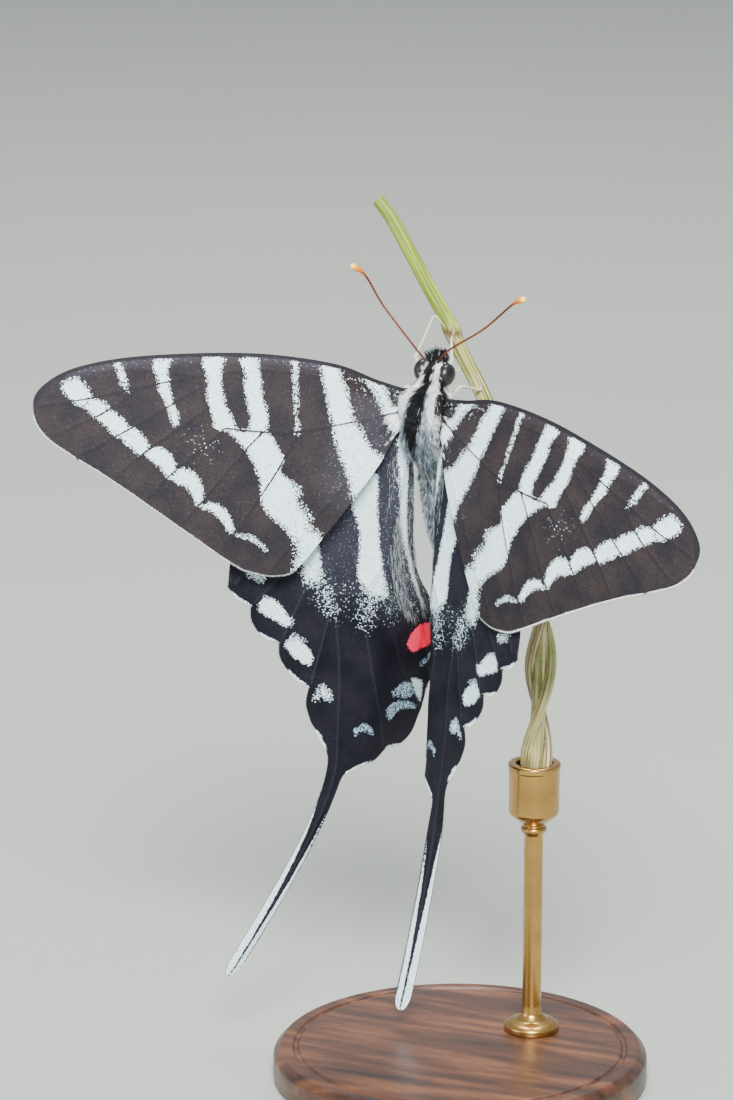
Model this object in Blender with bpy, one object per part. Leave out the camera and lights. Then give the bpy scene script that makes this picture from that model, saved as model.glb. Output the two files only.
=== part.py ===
"""Zebra swallowtail butterfly, life size, gripping a cut length of vine that a small turned stand holds up.

The butterfly and its perch are modelled in millimetres in the butterfly's own frame: X to its right, Y to its
head, Z to its back. One empty carries that frame, leaning a little, above the stand in metres, +Z up.
"""

from math import cos, hypot, pi, radians, sin, tan

import bmesh
import bpy
from mathutils import Matrix, Vector
from mathutils.geometry import delaunay_2d_cdt

MM = 0.001
GAP = 0.3

# The butterfly's frame over the stand
LEAN = radians(7.4)
FRAME_HEIGHT = 80.5
FRAME_SIDE = -2.5
FRAME_BACK = -6.0

# Body: stations as (y, middle z, half width, reach up, reach down)
THORAX_STATIONS = (
    (1.9, -1.1, 1.25, 1.5, 1.5),
    (0.7, -1.0, 1.95, 2.6, 2.8),
    (-1.2, -0.9, 2.3, 3.3, 3.5),
    (-3.0, -1.0, 2.35, 3.3, 3.4),
    (-4.8, -1.6, 2.15, 2.9, 2.7),
    (-6.3, -2.4, 1.75, 2.2, 1.9),
)
HEAD_STATIONS = (
    (1.6, -1.5, 0.85, 1.1, 0.9),
    (2.6, -1.9, 1.25, 1.35, 1.3),
    (3.6, -2.1, 1.4, 1.5, 1.5),
    (4.6, -2.3, 1.2, 1.25, 1.25),
    (5.3, -2.4, 0.75, 0.85, 0.8),
)
SHOULDER_CENTRE = (1.75, 0.0, 0.5)
SHOULDER_RADII = (0.95, 1.9, 0.75)
BODY_SIDES = 18
ABDOMEN_ROUTE = ((0, -3.9, -1.9), (0, -7.5, -4.9), (0, -12.0, -8.0), (0, -16.5, -10.3), (0, -20.4, -11.7))
ABDOMEN_RADIUS = 1.85
ABDOMEN_TIP_RADIUS = 0.55
ABDOMEN_SEGMENTS = 8
ABDOMEN_CREASE = 0.13

# Head parts
EYE_CENTRE = (1.35, 3.3, -2.05)
EYE_RADII = (1.0, 1.3, 1.35)
PALP_ROUTE = ((0.42, 4.4, -3.2), (0.5, 5.3, -3.1), (0.45, 6.0, -2.4))
PALP_RADII = (0.5, 0.45, 0.25)
ANTENNA_ROUTES = {
    -1: ((-0.6, 3.9, -1.9), (-2.6, 6.0, -1.25), (-6.6, 9.7, -1.05), (-8.9, 12.7, -0.5), (-10.5, 13.8, 0.3)),
    1: ((0.3, 4.2, -1.9), (1.6, 6.3, -1.25), (5.4, 9.6, -1.0), (8.6, 13.2, -0.2), (10.2, 14.3, 0.4)),
}
ANTENNA_RADIUS = 0.26
CLUB_RADIUS = 0.42
CLUB_LENGTH = 0.24
COIL_CENTRE = (0, 4.9, -4.35)
COIL_RADIUS = 0.62
COIL_WIRE = 0.27

# Legs: each hip and knee, and where each foot starts and ends on the vine, as (y, degrees round it)
LEG_HIPS = {"fore": (0.8, 1.0, -3.0), "mid": (0.9, -0.9, -3.7), "hind": (0.9, -2.8, -3.8)}
LEG_KNEES = {
    ("fore", -1): (-3.5, 3.7, -4.8),
    ("fore", 1): (0.6, 4.0, -5.4),
    ("mid", -1): (-2.7, 1.2, -5.9),
    ("mid", 1): (2.2, 1.6, -4.9),
    ("hind", -1): (-1.6, -4.6, -7.6),
    ("hind", 1): (3.4, -4.9, -6.0),
}
FOOT_PLACES = {
    ("fore", -1): ((8.5, 145), (7.2, 108)),
    ("fore", 1): ((5.8, 92), (6.8, 35)),
    ("mid", -1): ((2.9, 165), (4.3, 150)),
    ("mid", 1): ((0.3, 60), (2.0, 40)),
    ("hind", -1): ((-3.9, 190), (-2.2, 175)),
    ("hind", 1): ((-6.6, 75), (-5.0, 50)),
}
HIP_RADIUS = 0.4
THIGH_RADIUS = 0.42
KNEE_RADIUS = 0.3
SHIN_RADIUS = 0.27
FOOT_RADIUS = 0.25
KNEE_BEND = 0.6
ANKLE_BEND = 0.36
LEG_SIDES = 8

# Forewing: its plane, its camber and the side's own pitch
FORE_ROOT = (2.5, 0.0, -0.5)
FORE_DIHEDRAL = radians(34.6)
FORE_PITCH = {-1: radians(-9.7), 1: radians(-5.9)}
FORE_CAMBER_OUT = -0.0041
FORE_CAMBER_TWIST = -0.0033
FORE_CAMBER_ALONG = -0.0071

# Hindwing: a fold line runs back from the root, and the wing drops steeply inside it
HIND_ROOT = (1.12, -3.0, -1.9)
HIND_RISE_FRONT = radians(29.5)
HIND_RISE_REAR = radians(36.0)
HIND_RISE_REACH = 22.5
HIND_INNER_RISE = radians(76.0)
FOLD_START = 1.4
FOLD_SPREAD = 0.053
FOLD_SOFTNESS = 1.6
FOLD_OUT = 0.8
FOLD_UP = 0.4
HIND_TILT = radians(2.2)
HIND_SAG = 0.003

# Tails: where each starts to swing sideways and lift, by how much, and how far it twists about its midline
TAIL_START = {-1: 41.0, 1: 34.0}
TAIL_SWING = {-1: (0.56, 12.5), 1: (-0.11, 0.5)}
TAIL_LIFT = {-1: 0.005, 1: 0.0074}
TAIL_TWIST = {-1: 0.0, 1: radians(45.0)}
TAIL_TWIST_START = 42.0
TAIL_TWIST_REACH = 8.0
TAIL_MIDDLE = 7.35

# Wing sheets
SHEET = 0.5
VEIN_RISE = 0.16
VEIN_HALF = 0.42
VEIN_STEP = 2.6
MARGIN_STEP = 1.9
FILL_STEP = 4.0

# Flat outlines and veins, as (outward, forward) from the wing's root
FORE_EDGES = (
    ((-0.9, 0.9), (3.2, 1.9), (8.5, 3.4), (17.5, 3.8), (28.5, 2.6), (35.2, 0.9), (38.8, -1.2), (40.2, -3.7),
     (38.5, -7.2), (31.2, -11.3), (24.2, -15.5), (17.2, -19.7), (14.8, -20.6), (12.2, -20.8), (10.1, -20.0),
     (7.8, -16.7), (4.4, -11.3), (2.0, -7.2), (0.5, -3.8), (-0.9, -2.6)),
)
FORE_VEINS = (
    ((-0.5, 0.1), (8.0, 1.6), (16.0, 2.0), (22.8, 0.9)),
    ((-0.5, -1.2), (6.7, -3.2), (11.6, -4.4), (15.4, -4.7), (19.5, -4.6)),
    ((22.8, 0.9), (22.5, -0.3), (21.6, -2.5), (19.5, -4.6)),
    ((22.8, 0.9), (30.0, 0.9), (36.3, -0.2)),
    ((22.8, 0.9), (29.0, -0.9), (34.3, -2.6), (39.4, -3.9)),
    ((29.0, -0.9), (32.8, -4.1), (37.7, -7.0)),
    ((22.5, -0.3), (30.6, -6.1), (34.9, -8.9)),
    ((21.6, -2.5), (28.0, -8.0), (30.8, -11.0)),
    ((19.5, -4.6), (24.8, -10.0), (27.1, -13.0)),
    ((15.4, -4.7), (17.4, -7.2), (21.4, -13.1), (23.1, -15.5)),
    ((11.6, -4.4), (13.6, -9.2), (17.5, -16.4), (18.6, -18.2)),
    ((-0.3, -2.2), (4.5, -8.2), (9.3, -14.9), (12.9, -20.2)),
)
HIND_EDGES = (
    ((0.2, 1.2), (6.0, 0.2), (12.0, -4.4), (17.0, -11.5), (19.8, -16.5), (20.3, -20.5)),
    ((20.3, -20.5), (19.1, -21.8), (17.6, -22.6)),
    ((17.6, -22.6), (17.5, -24.3), (16.8, -25.7)),
    ((16.8, -25.7), (15.6, -26.6), (14.2, -27.0)),
    ((14.2, -27.0), (14.1, -28.8), (13.4, -30.2)),
    ((13.4, -30.2), (12.1, -31.6), (10.6, -32.6)),
    ((10.6, -32.6), (10.9, -34.9), (10.3, -37.2)),
    ((10.3, -37.2), (9.3, -39.0), (8.4, -41.2), (8.2, -44.0), (8.2, -55.0), (8.3, -67.7), (8.15, -70.6),
     (7.4, -71.6), (6.65, -70.6), (6.5, -67.7), (6.5, -55.0), (6.4, -45.5), (5.7, -43.7), (4.0, -42.6)),
    ((4.0, -42.6), (2.2, -42.2), (0.4, -41.0)),
    ((0.4, -41.0), (-2.2, -41.2), (-4.6, -40.0), (-6.2, -37.2)),
    ((-6.2, -37.2), (-7.0, -35.4), (-7.6, -33.8)),
    ((-7.6, -33.8), (-8.2, -30.2), (-7.9, -26.4), (-6.6, -22.9), (-4.4, -20.0), (-2.8, -17.2), (-2.0, -13.4),
     (-1.4, -9.6), (-0.9, -6.4), (-0.1, -3.8), (0.5, -1.4)),
)
HIND_VEINS = (
    ((0.9, -0.5), (8.0, -4.6), (15.0, -12.5), (19.5, -20.0)),
    ((0.9, -0.5), (5.6, -7.0), (9.2, -12.5), (17.3, -22.2)),
    ((9.2, -12.5), (10.0, -16.0), (13.9, -26.6)),
    ((10.0, -16.0), (8.3, -20.5), (10.4, -32.1)),
    ((8.3, -20.5), (5.0, -20.2), (2.6, -16.5)),
    ((8.3, -20.5), (7.2, -30.0), (7.3, -42.0), (7.35, -55.0), (7.4, -70.5)),
    ((5.0, -20.2), (3.4, -30.0), (1.1, -40.6)),
    ((0.9, -0.5), (1.4, -8.0), (2.6, -16.5), (-0.6, -28.0), (-5.6, -36.9)),
    ((0.9, -0.5), (0.1, -10.0), (-1.6, -18.5), (-5.2, -26.0), (-7.3, -33.2)),
)
FOLD_GUIDES = (-1.3, 0.0, 1.3)
ROOT_REACH = 7.0
ROOT_STEP = 1.0

# Perch: the vine's route past the body, thin at the top, with two strands twined round it lower down
STEM_ROUTE = (
    (-11.4, 19.6, -7.8), (-9.1, 17.2, -8.0), (-4.2, 10.6, -8.6), (-1.6, 7.3, -8.8), (0.1, 4.5, -9.0),
    (3.7, -0.6, -9.3), (7.6, -8.0, -9.9), (10.9, -16.9, -10.9), (12.9, -25.7, -12.1), (13.6, -35.0, -13.2),
    (14.4, -47.0, -14.0),
)
STEM_RADII = (0.7, 0.85)
STEM_SIDES = 10
STRAND_RADIUS = 0.62
STRAND_START = 0.5
STRAND_TURNS = 1.6
STRAND_SIDES = 6

# Stand
BASE_RADIUS = 21.5
BASE_HEIGHT = 4.0
BASE_BEVEL = 0.9
ROD_RADIUS = 1.1
ROD_FOOT_RADIUS = 3.2
ROD_FOOT_HEIGHT = 1.0
CUP_DEPTH = 5.0
CUP_WALL = 0.8
CUP_FLOOR = 1.6


def clear_scene():
    for obj in list(bpy.data.objects):
        bpy.data.objects.remove(obj)


def finish_of(name, colour, roughness, metallic=0.0):
    material = bpy.data.materials.new(name)
    material.use_nodes = True
    shader = material.node_tree.nodes["Principled BSDF"]
    shader.inputs["Base Color"].default_value = (*colour, 1.0)
    shader.inputs["Roughness"].default_value = roughness
    shader.inputs["Metallic"].default_value = metallic
    return material


def smooth_line(points, spacing):
    """Points about `spacing` apart on a smooth curve through the given ones, first and last included."""
    line = [Vector(point) for point in points]
    padded = [2 * line[0] - line[1], *line, 2 * line[-1] - line[-2]]
    dense = []
    for before, start, end, after in zip(padded, padded[1:], padded[2:], padded[3:]):
        steps = max(1, round((end - start).length / spacing))
        for i in range(steps):
            t = i / steps
            straight = 2 * start + (end - before) * t
            bend = (2 * before - 5 * start + 4 * end - after) * t * t
            turn = (3 * start - before - 3 * end + after) * t**3
            dense.append(0.5 * (straight + bend + turn))
    dense.append(line[-1])
    return dense


def even_line(points, count):
    """`count` points at even distances along a smooth curve through the given ones."""
    dense = smooth_line(points, 0.05)
    reach = [0.0]
    for start, end in zip(dense, dense[1:]):
        reach.append(reach[-1] + (end - start).length)
    found = []
    k = 0
    for i in range(count):
        target = reach[-1] * i / (count - 1)
        while k < len(dense) - 2 and reach[k + 1] < target:
            k += 1
        share = (target - reach[k]) / max(reach[k + 1] - reach[k], 1e-9)
        found.append(dense[k].lerp(dense[k + 1], min(share, 1.0)))
    return found


def new_object(name, bm, material, parent=None):
    """An object from a bmesh in millimetres, its faces turned outwards."""
    bmesh.ops.recalc_face_normals(bm, faces=bm.faces)
    bmesh.ops.scale(bm, vec=(MM, MM, MM), verts=bm.verts)
    mesh = bpy.data.meshes.new(name)
    bm.to_mesh(mesh)
    bm.free()
    mesh.shade_smooth()
    mesh.set_sharp_from_angle(angle=radians(40))
    if material:
        mesh.materials.append(material)
    obj = bpy.data.objects.new(name, mesh)
    obj.parent = parent
    bpy.context.scene.collection.objects.link(obj)
    return obj


def add_rings(bm, rings):
    """Skin a row of closed rings into one closed body with flat ends."""
    rows = [[bm.verts.new(point) for point in ring] for ring in rings]
    sides = len(rows[0])
    for row, following in zip(rows, rows[1:]):
        for i in range(sides):
            j = (i + 1) % sides
            bm.faces.new((row[i], row[j], following[j], following[i]))
    bm.faces.new(reversed(rows[0]))
    bm.faces.new(rows[-1])


def station_body(bm, stations, grow=0.0):
    """A body lofted along Y through oval stations, rounded off at both ends, and `grow` larger all round."""
    first, last = stations[0], stations[-1]
    towards = 1 if first[0] > last[0] else -1
    closing = [(first[0] + towards * (0.3 + grow), first[1], *(0.45 * (r + grow) for r in first[2:]))]
    closing += [(y, z, *(r + grow for r in radii)) for y, z, *radii in stations]
    closing += [(last[0] - towards * (0.3 + grow), last[1], *(0.45 * (r + grow) for r in last[2:]))]
    smooth = smooth_line(closing, 0.9)
    rings = []
    for y, z, wide, up, down in smooth:
        ring = []
        for i in range(BODY_SIDES):
            angle = 2 * pi * i / BODY_SIDES
            height = up if sin(angle) > 0 else down
            ring.append((wide * cos(angle), y, z + height * sin(angle)))
        rings.append(ring)
    add_rings(bm, rings)


def tube(bm, line, radii, sides):
    """A round tube along a line of points, with a radius for each, its rings turned as little as may be."""
    rings = []
    side = Vector((1.0, 0.0, 0.0))
    runs = [(end - start).normalized() for start, end in zip(line, line[1:])]
    for i, (point, radius) in enumerate(zip(line, radii)):
        tangent = (runs[max(i - 1, 0)] + runs[min(i, len(runs) - 1)]).normalized()
        if abs(tangent.dot(side)) > 0.95:
            side = Vector((0.0, 0.0, 1.0))
        side = (side - tangent * side.dot(tangent)).normalized()
        other = tangent.cross(side)
        angles = [2 * pi * k / sides for k in range(sides)]
        rings.append([point + radius * (side * cos(a) + other * sin(a)) for a in angles])
    add_rings(bm, rings)


def rounded_radii(count, radius_at, end_radius=0.55):
    """Radii along a tube, with the first and last rings drawn in so that the ends look round."""
    radii = [radius_at(i / (count - 1)) for i in range(count)]
    radii[0] *= end_radius
    radii[-1] *= end_radius
    return radii


def boolean(obj, cutter, operation):
    change = obj.modifiers.new(operation.title(), "BOOLEAN")
    change.operation = operation
    change.solver = "EXACT"
    change.object = cutter


def settle(obj, cutters):
    """Apply an object's modifiers, drop the helper objects and keep only the largest closed surface."""
    bpy.context.view_layer.update()
    graph = bpy.context.evaluated_depsgraph_get()
    mesh = bpy.data.meshes.new_from_object(obj.evaluated_get(graph))
    obj.modifiers.clear()
    obj.data = mesh
    for cutter in cutters:
        bpy.data.objects.remove(cutter)
    bm = bmesh.new()
    bm.from_mesh(mesh)
    bmesh.ops.remove_doubles(bm, verts=bm.verts, dist=0.5e-6)
    left = set(bm.verts)
    islands = []
    while left:
        island = {left.pop()}
        edge_of_island = list(island)
        while edge_of_island:
            vertex = edge_of_island.pop()
            for edge in vertex.link_edges:
                other = edge.other_vert(vertex)
                if other not in island:
                    island.add(other)
                    edge_of_island.append(other)
        left -= island
        islands.append(island)
    islands.sort(key=len)
    for island in islands[:-1]:
        bmesh.ops.delete(bm, geom=list(island), context="VERTS")
    bm.to_mesh(mesh)
    bm.free()


def helper(name, bm, parent):
    cutter = new_object(name, bm, None, parent)
    cutter.hide_render = True
    cutter.display_type = "WIRE"
    return cutter


def cut_clear(obj, shapes):
    """Cut an object clear of its neighbours; each shape fills a bmesh with a neighbour grown by the gap."""
    cutters = []
    for i, shape in enumerate(shapes):
        bm = bmesh.new()
        shape(bm)
        cutters.append(helper(f"{obj.name}_cutter_{i}", bm, obj.parent))
        boolean(obj, cutters[-1], "DIFFERENCE")
    settle(obj, cutters)


def joined(obj, shapes):
    """Fuse further shapes into an object, so that it stays one closed body."""
    pieces = []
    for i, shape in enumerate(shapes):
        bm = bmesh.new()
        shape(bm)
        pieces.append(helper(f"{obj.name}_piece_{i}", bm, obj.parent))
        boolean(obj, pieces[-1], "UNION")
    settle(obj, pieces)


def mirrored(point, side):
    x, y, z = point
    return Vector((x * side, y, z))


# Body


def thorax_shape(bm, grow=0.0):
    station_body(bm, THORAX_STATIONS, grow)


def head_shape(bm, grow=0.0):
    station_body(bm, HEAD_STATIONS, grow)


def abdomen_shape(bm, grow=0.0):
    """A tapering tube whose rings draw in at each segment's crease."""
    rings = 3 * ABDOMEN_SEGMENTS + 1
    line = even_line(ABDOMEN_ROUTE, rings)

    def radius_at(t):
        slim = ABDOMEN_RADIUS + (ABDOMEN_TIP_RADIUS - ABDOMEN_RADIUS) * t**3
        crease = ABDOMEN_CREASE if round(t * (rings - 1)) % 3 == 0 else 0.0
        return slim * (1 - 0.08 * (1 - t)) - crease + grow

    radii = rounded_radii(rings, radius_at)
    radii[1] *= 0.8
    radii[-2] *= 0.9
    tube(bm, line, radii, 14)


def shoulder_shape(bm, side, grow=0.0):
    """The scale-covered lobe that caps a forewing's root."""
    bmesh.ops.create_uvsphere(bm, u_segments=12, v_segments=8, radius=1.0)
    bmesh.ops.scale(bm, vec=[radius + grow for radius in SHOULDER_RADII], verts=bm.verts)
    bmesh.ops.rotate(bm, cent=(0, 0, 0), matrix=Matrix.Rotation(-0.5 * side, 3, "Y"), verts=bm.verts)
    bmesh.ops.translate(bm, vec=mirrored(SHOULDER_CENTRE, side), verts=bm.verts)


def make_thorax(frame, material):
    bm = bmesh.new()
    thorax_shape(bm)
    thorax = new_object("thorax", bm, material, frame)
    joined(thorax, [lambda bm: shoulder_shape(bm, -1), lambda bm: shoulder_shape(bm, 1)])


def make_abdomen(frame, material):
    bm = bmesh.new()
    abdomen_shape(bm)
    abdomen = new_object("abdomen", bm, material, frame)
    cut_clear(abdomen, [lambda bm: thorax_shape(bm, GAP)])


def make_head(frame, material):
    """The head capsule with the two palps that stand up in front of the face."""
    bm = bmesh.new()
    head_shape(bm)
    head = new_object("head", bm, material, frame)

    def palp(side):
        def shape(bm):
            line = even_line([mirrored(point, side) for point in PALP_ROUTE], 5)
            base, middle, tip = PALP_RADII
            radii = [base, base, middle, 0.5 * (middle + tip), tip]
            tube(bm, line, radii, 8)
        return shape

    joined(head, [palp(-1), palp(1)])
    cut_clear(head, [lambda bm: thorax_shape(bm, GAP)])


def eye_shape(bm, side):
    bmesh.ops.create_uvsphere(bm, u_segments=14, v_segments=9, radius=1.0)
    bmesh.ops.scale(bm, vec=EYE_RADII, verts=bm.verts)
    bmesh.ops.translate(bm, vec=mirrored(EYE_CENTRE, side), verts=bm.verts)


def make_eye(name, side, frame, material):
    """A domed compound eye that sits against the side of the head."""
    bm = bmesh.new()
    eye_shape(bm, side)
    eye = new_object(name, bm, material, frame)
    cut_clear(eye, [lambda bm: head_shape(bm, GAP), lambda bm: thorax_shape(bm, GAP)])


def make_antenna(name, side, frame, material):
    """A slender feeler that swells into a club at its tip."""
    count = 17
    line = even_line(ANTENNA_ROUTES[side], count)

    def radius_at(t):
        club = max(0.0, (t - 1 + CLUB_LENGTH) / CLUB_LENGTH)
        return ANTENNA_RADIUS + (CLUB_RADIUS - ANTENNA_RADIUS) * sin(0.5 * pi * min(1.0, 1.6 * club))

    bm = bmesh.new()
    tube(bm, line, rounded_radii(count, radius_at), 7)
    antenna = new_object(name, bm, material, frame)
    cut_clear(antenna, [lambda bm: head_shape(bm, GAP), lambda bm: eye_shape_grown(bm, side)])


def eye_shape_grown(bm, side):
    """The eye grown by the gap, which clears whatever passes close to it."""
    eye_shape(bm, side)
    centre = mirrored(EYE_CENTRE, side)
    bmesh.ops.translate(bm, vec=-centre, verts=bm.verts)
    bmesh.ops.scale(bm, vec=[(r + GAP) / r for r in EYE_RADII], verts=bm.verts)
    bmesh.ops.translate(bm, vec=centre, verts=bm.verts)


def make_proboscis(frame, material):
    """The coiled tongue tucked under the face, shown as most of one turn."""
    count = 13
    centre = Vector(COIL_CENTRE)
    line = []
    for i in range(count):
        angle = radians(100 - 270 * i / (count - 1))
        line.append(centre + COIL_RADIUS * Vector((0, cos(angle), sin(angle))))
    bm = bmesh.new()
    tube(bm, line, rounded_radii(count, lambda t: COIL_WIRE), 7)
    coil = new_object("proboscis", bm, material, frame)
    cut_clear(coil, [lambda bm: head_shape(bm, GAP)])


# Perch and stand


def stem_line(count=60):
    return even_line(STEM_ROUTE, count)


def stem_radius(t):
    return STEM_RADII[0] + (STEM_RADII[1] - STEM_RADII[0]) * min(1.0, 3 * t)


def round_the_stem(share, reach, angle):
    """A point `reach` off the vine's centre line; the angle starts at its right and turns to the body."""
    line = stem_line(200)
    spot = share * (len(line) - 1)
    i = min(int(spot), len(line) - 2)
    along = (line[i + 1] - line[i]).normalized()
    up = Vector((0, 0, 1))
    up = (up - along * up.dot(along)).normalized()
    right = up.cross(along)
    if right.x < 0:
        right = -right
    return line[i].lerp(line[i + 1], spot - i) + reach * (right * cos(angle) + up * sin(angle))


def share_at_height(y):
    """How far down the vine a height in the butterfly's frame lies."""
    line = stem_line(200)
    nearest = min(range(len(line)), key=lambda i: abs(line[i].y - y))
    return nearest / (len(line) - 1)


def make_perch(frame, material):
    """The vine: one main stem, and below the body two more strands that twine round it."""
    rings = 34
    bm = bmesh.new()
    tube(bm, stem_line(rings), [stem_radius(i / (rings - 1)) for i in range(rings)], STEM_SIDES)
    stem = new_object("perch_stem", bm, material, frame)

    def strand(phase):
        def shape(bm):
            count = 26
            line = []
            radii = []
            for i in range(count):
                t = i / (count - 1)
                share = STRAND_START + (1 - STRAND_START) * t
                reach = (stem_radius(share) + 0.55 * STRAND_RADIUS) * min(1.0, 0.25 + 3 * t)
                line.append(round_the_stem(share, reach, phase + 2 * pi * STRAND_TURNS * t))
                radii.append(STRAND_RADIUS * min(1.0, 0.6 + 2 * t))
            tube(bm, line, radii, STRAND_SIDES)
        return shape

    joined(stem, [strand(0.4), strand(0.4 + pi)])


def bent(before, corner, after, radius, steps):
    """Points on the arc that rounds a corner off."""
    back = (before - corner).normalized()
    ahead = (after - corner).normalized()
    half = back.angle(ahead) / 2
    centre = corner + (back + ahead).normalized() * radius / sin(half)
    start = (corner + back * radius / tan(half) - centre).normalized()
    end = (corner + ahead * radius / tan(half) - centre).normalized()
    return [centre + radius * start.slerp(end, i / steps) for i in range(steps + 1)]


def make_leg(pair, side, frame, material):
    """Hip to knee, knee to the vine, and a foot that bends along it, one gap off its surface."""
    hip = mirrored(LEG_HIPS[pair], side)
    knee = Vector(LEG_KNEES[pair, side])
    (ankle_y, ankle_angle), (toe_y, toe_angle) = FOOT_PLACES[pair, side]
    foot = []
    for t in (0.0, 0.6, 0.8, 1.0):
        share = share_at_height(ankle_y) * (1 - t) + share_at_height(toe_y) * t
        angle = radians(ankle_angle + (toe_angle - ankle_angle) * t)
        foot.append(round_the_stem(share, stem_radius(share) + 1.3 * GAP + FOOT_RADIUS, angle))
    thigh = [hip.lerp(knee, t) for t in (0.0, 0.3, 0.65)]
    bend = bent(hip, knee, foot[0], KNEE_BEND, 3)
    ankle = bent(knee, foot[0], foot[1], ANKLE_BEND, 4)
    line = [*thigh, *bend, bend[-1].lerp(ankle[0], 0.4), *ankle, *foot[1:]]
    radii = [HIP_RADIUS, THIGH_RADIUS, 0.9 * THIGH_RADIUS, *[KNEE_RADIUS] * 4, SHIN_RADIUS]
    radii += [FOOT_RADIUS] * (len(line) - len(radii) - 1) + [0.7 * FOOT_RADIUS]
    bm = bmesh.new()
    tube(bm, line, radii, LEG_SIDES)
    names = {-1: "left", 1: "right"}
    leg = new_object(f"leg_{pair}_{names[side]}", bm, material, frame)
    cut_clear(leg, [lambda bm: thorax_shape(bm, GAP)])


def lathe(bm, profile, sides):
    """Turn a profile of (radius, height) points about Z; it starts and ends on the axis."""
    points = [bm.verts.new((radius, 0, height)) for radius, height in profile]
    edges = [bm.edges.new(pair) for pair in zip(points, points[1:])]
    bmesh.ops.spin(bm, geom=points + edges, cent=(0, 0, 0), axis=(0, 0, 1), angle=2 * pi, steps=sides,
                   use_merge=True)
    bmesh.ops.remove_doubles(bm, verts=bm.verts, dist=0.001)


def make_stand(frame, wood, brass):
    """A turned disc, and a rod whose cup holds the vine's cut end."""
    bm = bmesh.new()
    base_profile = (
        (0, 0),
        (BASE_RADIUS, 0),
        (BASE_RADIUS, BASE_HEIGHT - BASE_BEVEL),
        (BASE_RADIUS - 0.3, BASE_HEIGHT - 0.3),
        (BASE_RADIUS - BASE_BEVEL, BASE_HEIGHT),
        (0, BASE_HEIGHT),
    )
    lathe(bm, base_profile, 48)
    new_object("stand_base", bm, wood)

    bpy.context.view_layer.update()
    end = frame.matrix_world @ (Vector(STEM_ROUTE[-1]) * MM) / MM
    bundle = STEM_RADII[1] + 1.55 * STRAND_RADIUS
    bore = bundle + GAP
    outer = bore + CUP_WALL
    foot = BASE_HEIGHT + GAP
    cup_floor = end.z - GAP - 0.3
    cup_top = cup_floor + CUP_DEPTH
    bm = bmesh.new()
    rod_profile = (
        (0, foot),
        (ROD_FOOT_RADIUS, foot),
        (ROD_FOOT_RADIUS, foot + ROD_FOOT_HEIGHT),
        (ROD_RADIUS, foot + 2 * ROD_FOOT_HEIGHT),
        (ROD_RADIUS, cup_floor - CUP_FLOOR - 1.5),
        (outer, cup_floor - CUP_FLOOR + 0.6),
        (outer, cup_top),
        (bore, cup_top),
        (bore, cup_floor),
        (0, cup_floor),
    )
    lathe(bm, rod_profile, 20)
    rod = new_object("stand_rod", bm, brass)
    rod.location = (end.x * MM, end.y * MM, 0)


# Wings


def forewing_point(s, c, side):
    """The forewing's middle surface for the right side: s outward and c forward of the root, on the wing."""
    camber = FORE_CAMBER_OUT * s * s + FORE_CAMBER_TWIST * s * c + FORE_CAMBER_ALONG * c * c
    turn = Matrix.Rotation(-FORE_DIHEDRAL, 3, "Y") @ Matrix.Rotation(FORE_PITCH[side], 3, "X")
    return Vector(FORE_ROOT) + turn @ Vector((s, c, camber))


def smoothstep(t):
    t = min(1.0, max(0.0, t))
    return t * t * (3 - 2 * t)


def hindwing_point(s, c, side):
    """The hindwing's middle surface for the right side, folded down steeply inside its fold line."""
    back = -c
    fold = FOLD_START + FOLD_SPREAD * back
    outer = HIND_RISE_FRONT + (HIND_RISE_REAR - HIND_RISE_FRONT) * smoothstep(back / HIND_RISE_REACH)
    across = s - fold
    steps = 16
    x = HIND_ROOT[0] + FOLD_OUT * fold
    z = HIND_ROOT[2] + FOLD_UP * fold + c * sin(HIND_TILT) - HIND_SAG * back * back
    for i in range(steps):
        place = across * (i + 0.5) / steps
        share = smoothstep((place / FOLD_SOFTNESS + 1) / 2)
        rise = HIND_INNER_RISE + (outer - HIND_INNER_RISE) * share
        x += cos(rise) * across / steps
        z += sin(rise) * across / steps
    past = max(0.0, back - TAIL_START[side])
    pull, ease = TAIL_SWING[side]
    swing = pull * past * past / (past + ease)
    x += swing * cos(HIND_RISE_REAR)
    z += swing * sin(HIND_RISE_REAR) + TAIL_LIFT[side] * past * past
    turned = HIND_RISE_REAR - TAIL_TWIST[side] * smoothstep((back - TAIL_TWIST_START) / TAIL_TWIST_REACH)
    x += (s - TAIL_MIDDLE) * (cos(turned) - cos(HIND_RISE_REAR))
    z += (s - TAIL_MIDDLE) * (sin(turned) - sin(HIND_RISE_REAR))
    return Vector((x, HIND_ROOT[1] + c * cos(HIND_TILT), z))


def surface_normal(surface, s, c, side):
    step = 0.05
    outward = surface(s + step, c, side) - surface(s - step, c, side)
    forward = surface(s, c + step, side) - surface(s, c - step, side)
    return outward.cross(forward).normalized()


def distance_to_line(point, line):
    best = 1e9
    for start, end in zip(line, line[1:]):
        span = end - start
        t = min(1.0, max(0.0, (point - start).dot(span) / max(span.length_squared, 1e-9)))
        best = min(best, (start + span * t - point).length)
    return best


def inside(point, loop):
    """Whether a flat point lies within a closed loop of points."""
    crossings = 0
    for start, end in zip(loop, loop[1:] + loop[:1]):
        if (start.y > point.y) != (end.y > point.y):
            share = (point.y - start.y) / (end.y - start.y)
            crossings += point.x < start.x + share * (end.x - start.x)
    return crossings % 2 == 1


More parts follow.
